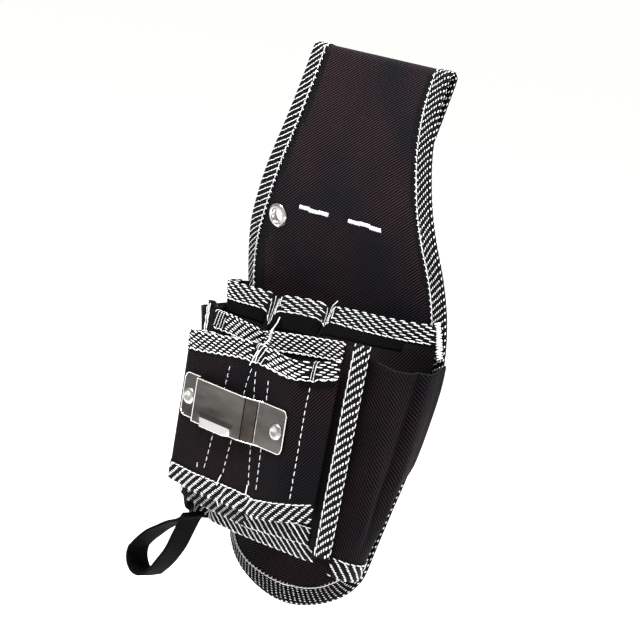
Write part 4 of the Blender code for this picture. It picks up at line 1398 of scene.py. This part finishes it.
def make_strap():
    half, bottom = STRAP_BELLY, -STRAP_LENGTH
    arc = np.linspace(0, math.pi / 2, 9)
    right = [(1.0, 1.5), (1.0, -5.0), (half * 0.72, bottom * 0.38), (half, bottom * 0.68)]
    right += [(half * math.cos(a), bottom + half - half * math.sin(a)) for a in arc[1:]]
    left = [(-x, z) for x, z in reversed(right[:-1])]
    outline = thread_path(np.array([(x, z, 0) for x, z in right + left]), 6)[:, :2]
    outline = resample(outline, 110)
    turn = STRAP_DROP
    x = outline[:, 0] * math.cos(turn) + outline[:, 1] * math.sin(turn)
    z = -outline[:, 0] * math.sin(turn) + outline[:, 1] * math.cos(turn)
    across = np.linspace(-STRAP_WIDTH / 2, STRAP_WIDTH / 2, 13)
    grid = np.zeros((len(across), len(outline), 3))
    grid[..., 0] = STRAP_ROOT[0] + x[None]
    grid[..., 2] = STRAP_ROOT[2] + z[None]
    grid[..., 1] = STRAP_ROOT[1] + across[:, None]
    along = lengths(outline)
    grid += grid_normals(grid) * (0.35 * waves(across[:, None], along[None], 20, 51))[..., None]
    uv = np.stack(np.broadcast_arrays(along[None, :], across[:, None]), axis=-1)
    strap = cloth("strap_webbing", grid, STRAP_THICKNESS, "webbing", uv, body="strap")
    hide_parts("strap_loop")


# ---------------------------------------------------------------- loose threads and seams


# Threads that jump from one pocket's stitching to the next, and cut ends: radii and routes
JUMPS = (
    (0.36, (-26.4, -26.6, 165.5), (-16, -38.5, 164.4), (-5.2, -52.5, 162.6), (-4, -54.2, 157.9),
     (-2.5, -60, 154.6), (2.4, -68.2, 151.4), (1.2, -68.6, 146.2)),
    (0.3, (-27.2, -26.4, 164.4), (-17, -38, 163.4), (-6.2, -52.4, 161.8), (-5, -54.2, 157.2),
     (-3.4, -60.4, 154.0), (0.8, -68.4, 150.6), (-2.6, -68.6, 143.0)),
    (0.32, (-13.0, -67.2, 76.5), (-14.3, -68.0, 71.5), (-20.5, -62, 63.0), (-23.9, -55, 54.5)),
    (0.32, (9.0, -67.2, 76.5), (6.4, -64.5, 66.5), (3.2, -57, 58.6), (2.9, -53, 53.6)),
    (0.32, (39.6, -62.0, 76.0), (40.0, -62.5, 66.5), (41.2, -55.5, 58.5), (42.3, -50.8, 52.4)),
    (0.3, (3.0, -16.5, 174.9), (5.6, -18, 179.0), (7.9, -17, 182.4)),
)


def add_run(parts, panel, start, end):
    """A straight row of stitches on a panel between two (x, z) places."""
    length, gap, width = 3.0, 1.2, 0.4
    start, end = np.array(start), np.array(end)
    count = int(np.linalg.norm(end - start) / (length + gap))
    for k in range(count):
        middle = start + (end - start) * ((k + 0.5) / count)
        ahead = start + (end - start) * ((k + 0.6) / count)
        point, normal = panel.at(panel.share_at(*middle), middle[1])
        forward = panel.at(panel.share_at(*ahead), ahead[1])[0] - point
        on_cloth = point + normal * (CLOTH_THICKNESS / 2 - 0.02)
        add_grains(parts, [on_cloth], [forward], [normal], length, width, 0.45)


# Rows of stitches on the front pocket, as (x, z) ends, and the rear pocket's end tack
RUNS = (
    ((-19.9, 139.0), (-27.8, 75.9)),
    ((-3.3, 141.5), (-12.3, 77.2)),
    ((0.8, 141.0), (9.1, 75.4)),
    ((11.9, 138.4), (15.9, 74.9)),
    ((40.3, 141.5), (39.6, 76.0)),
    ((-34.0, 79.0), (-33.3, 74.6)),
)
END_TACK = ((0.6, 0.4, 0.6), (1.6, 1.2, -4.4), (2.8, 1.6, -9.4), (3.8, 1.8, -14.4))


def make_stitching(rear, front):
    runs = Parts()
    for start, end in RUNS:
        add_run(runs, front, start, end)
    runs.object("front_stitch_rows", "thread")
    tack = Parts()
    across = np.array([0.9, 0.3, 0.25])
    along, out = unit(np.array([0.26, 0.1, -1.0])), unit(np.array([0.2, -1.0, 0.0]))
    for offset in END_TACK:
        zigzag(tack, rear.grid[-1, -1] + offset, across, along, out, 5.6, 4.2)
    tack.object("rear_end_tack", "thread")
    loose = Parts()
    for radius, *route in JUMPS:
        add_tube(loose, thread_path(route), radius)
    loose.object("loose_threads", "thread")


# ---------------------------------------------------------------- stage


# Lamps: azimuth, elevation, distance, size and power. Azimuth 0 is straight ahead of the front.
LAMPS = {
    "key": (-16, 60, 1.6, 0.6, 58.0),
    "side": (112, 22, 1.8, 0.6, 34.0),
    "back": (-120, 50, 2.0, 1.2, 20.0),
}
TARGET = Vector((CAMERA_TARGET + SHIFT) * MM)
FLOOR_SIZE, FLOOR_DROP = 60.0, 0.25


def away(azimuth, elevation):
    """Direction from the target towards a lamp or the camera, angles in radians."""
    flat = math.cos(elevation)
    return Vector((math.sin(azimuth) * flat, -math.cos(azimuth) * flat, math.sin(elevation)))


def make_stage():
    floor = bpy.data.meshes.new("floor")
    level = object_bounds()[0].z - FLOOR_DROP
    corners = [(x * FLOOR_SIZE, y * FLOOR_SIZE, level) for x, y in ((-1, -1), (1, -1), (1, 1), (-1, 1))]
    floor.from_pydata(corners, [], [(0, 1, 2, 3)])
    floor.materials.append(shader("floor_white", (0.99, 0.99, 0.98), 0.9, Specular_IOR_Level=0.0))
    placed("floor", floor)
    world = bpy.data.worlds.new("studio")
    world.use_nodes = True
    background = world.node_tree.nodes["Background"]
    background.inputs["Color"].default_value = (1.0, 1.0, 0.985, 1.0)
    background.inputs["Strength"].default_value = 1.0
    bpy.context.scene.world = world
    for name, (azimuth, elevation, distance, size, power) in LAMPS.items():
        lamp = bpy.data.lights.new(name, "AREA")
        lamp.size = size
        lamp.energy = power
        towards = away(math.radians(azimuth), math.radians(elevation))
        holder = placed(name, lamp)
        holder.location = TARGET + towards * distance
        holder.rotation_euler = (-towards).to_track_quat("-Z", "Y").to_euler()


def make_camera():
    azimuth, elevation, roll = (math.radians(v) for v in (CAMERA_AZIMUTH, CAMERA_ELEVATION, CAMERA_ROLL))
    towards = away(azimuth, elevation)
    level = Vector((math.cos(azimuth), math.sin(azimuth), 0.0))
    upright = towards.cross(level)
    right = level * math.cos(roll) + upright * math.sin(roll)
    up = upright * math.cos(roll) - level * math.sin(roll)
    data = bpy.data.cameras.new("camera")
    data.lens = CAMERA_LENS
    data.sensor_width = 36.0
    camera = placed("camera", data)
    turn = Matrix((right, up, towards)).transposed().to_4x4()
    camera.matrix_world = Matrix.Translation(TARGET + towards * (CAMERA_DISTANCE * MM)) @ turn
    bpy.context.scene.camera = camera


make_camera()
make_back()
rear = make_rear_pocket()
make_middle_pocket()
front = make_front_pocket()
make_side_pocket("left", 43, 1.0)
make_side_pocket("right", 41, -1.0)
make_seam("left")
make_seam("right")
make_plate()
make_rivets()
make_strap()
make_stitching(rear, front)
make_stage()
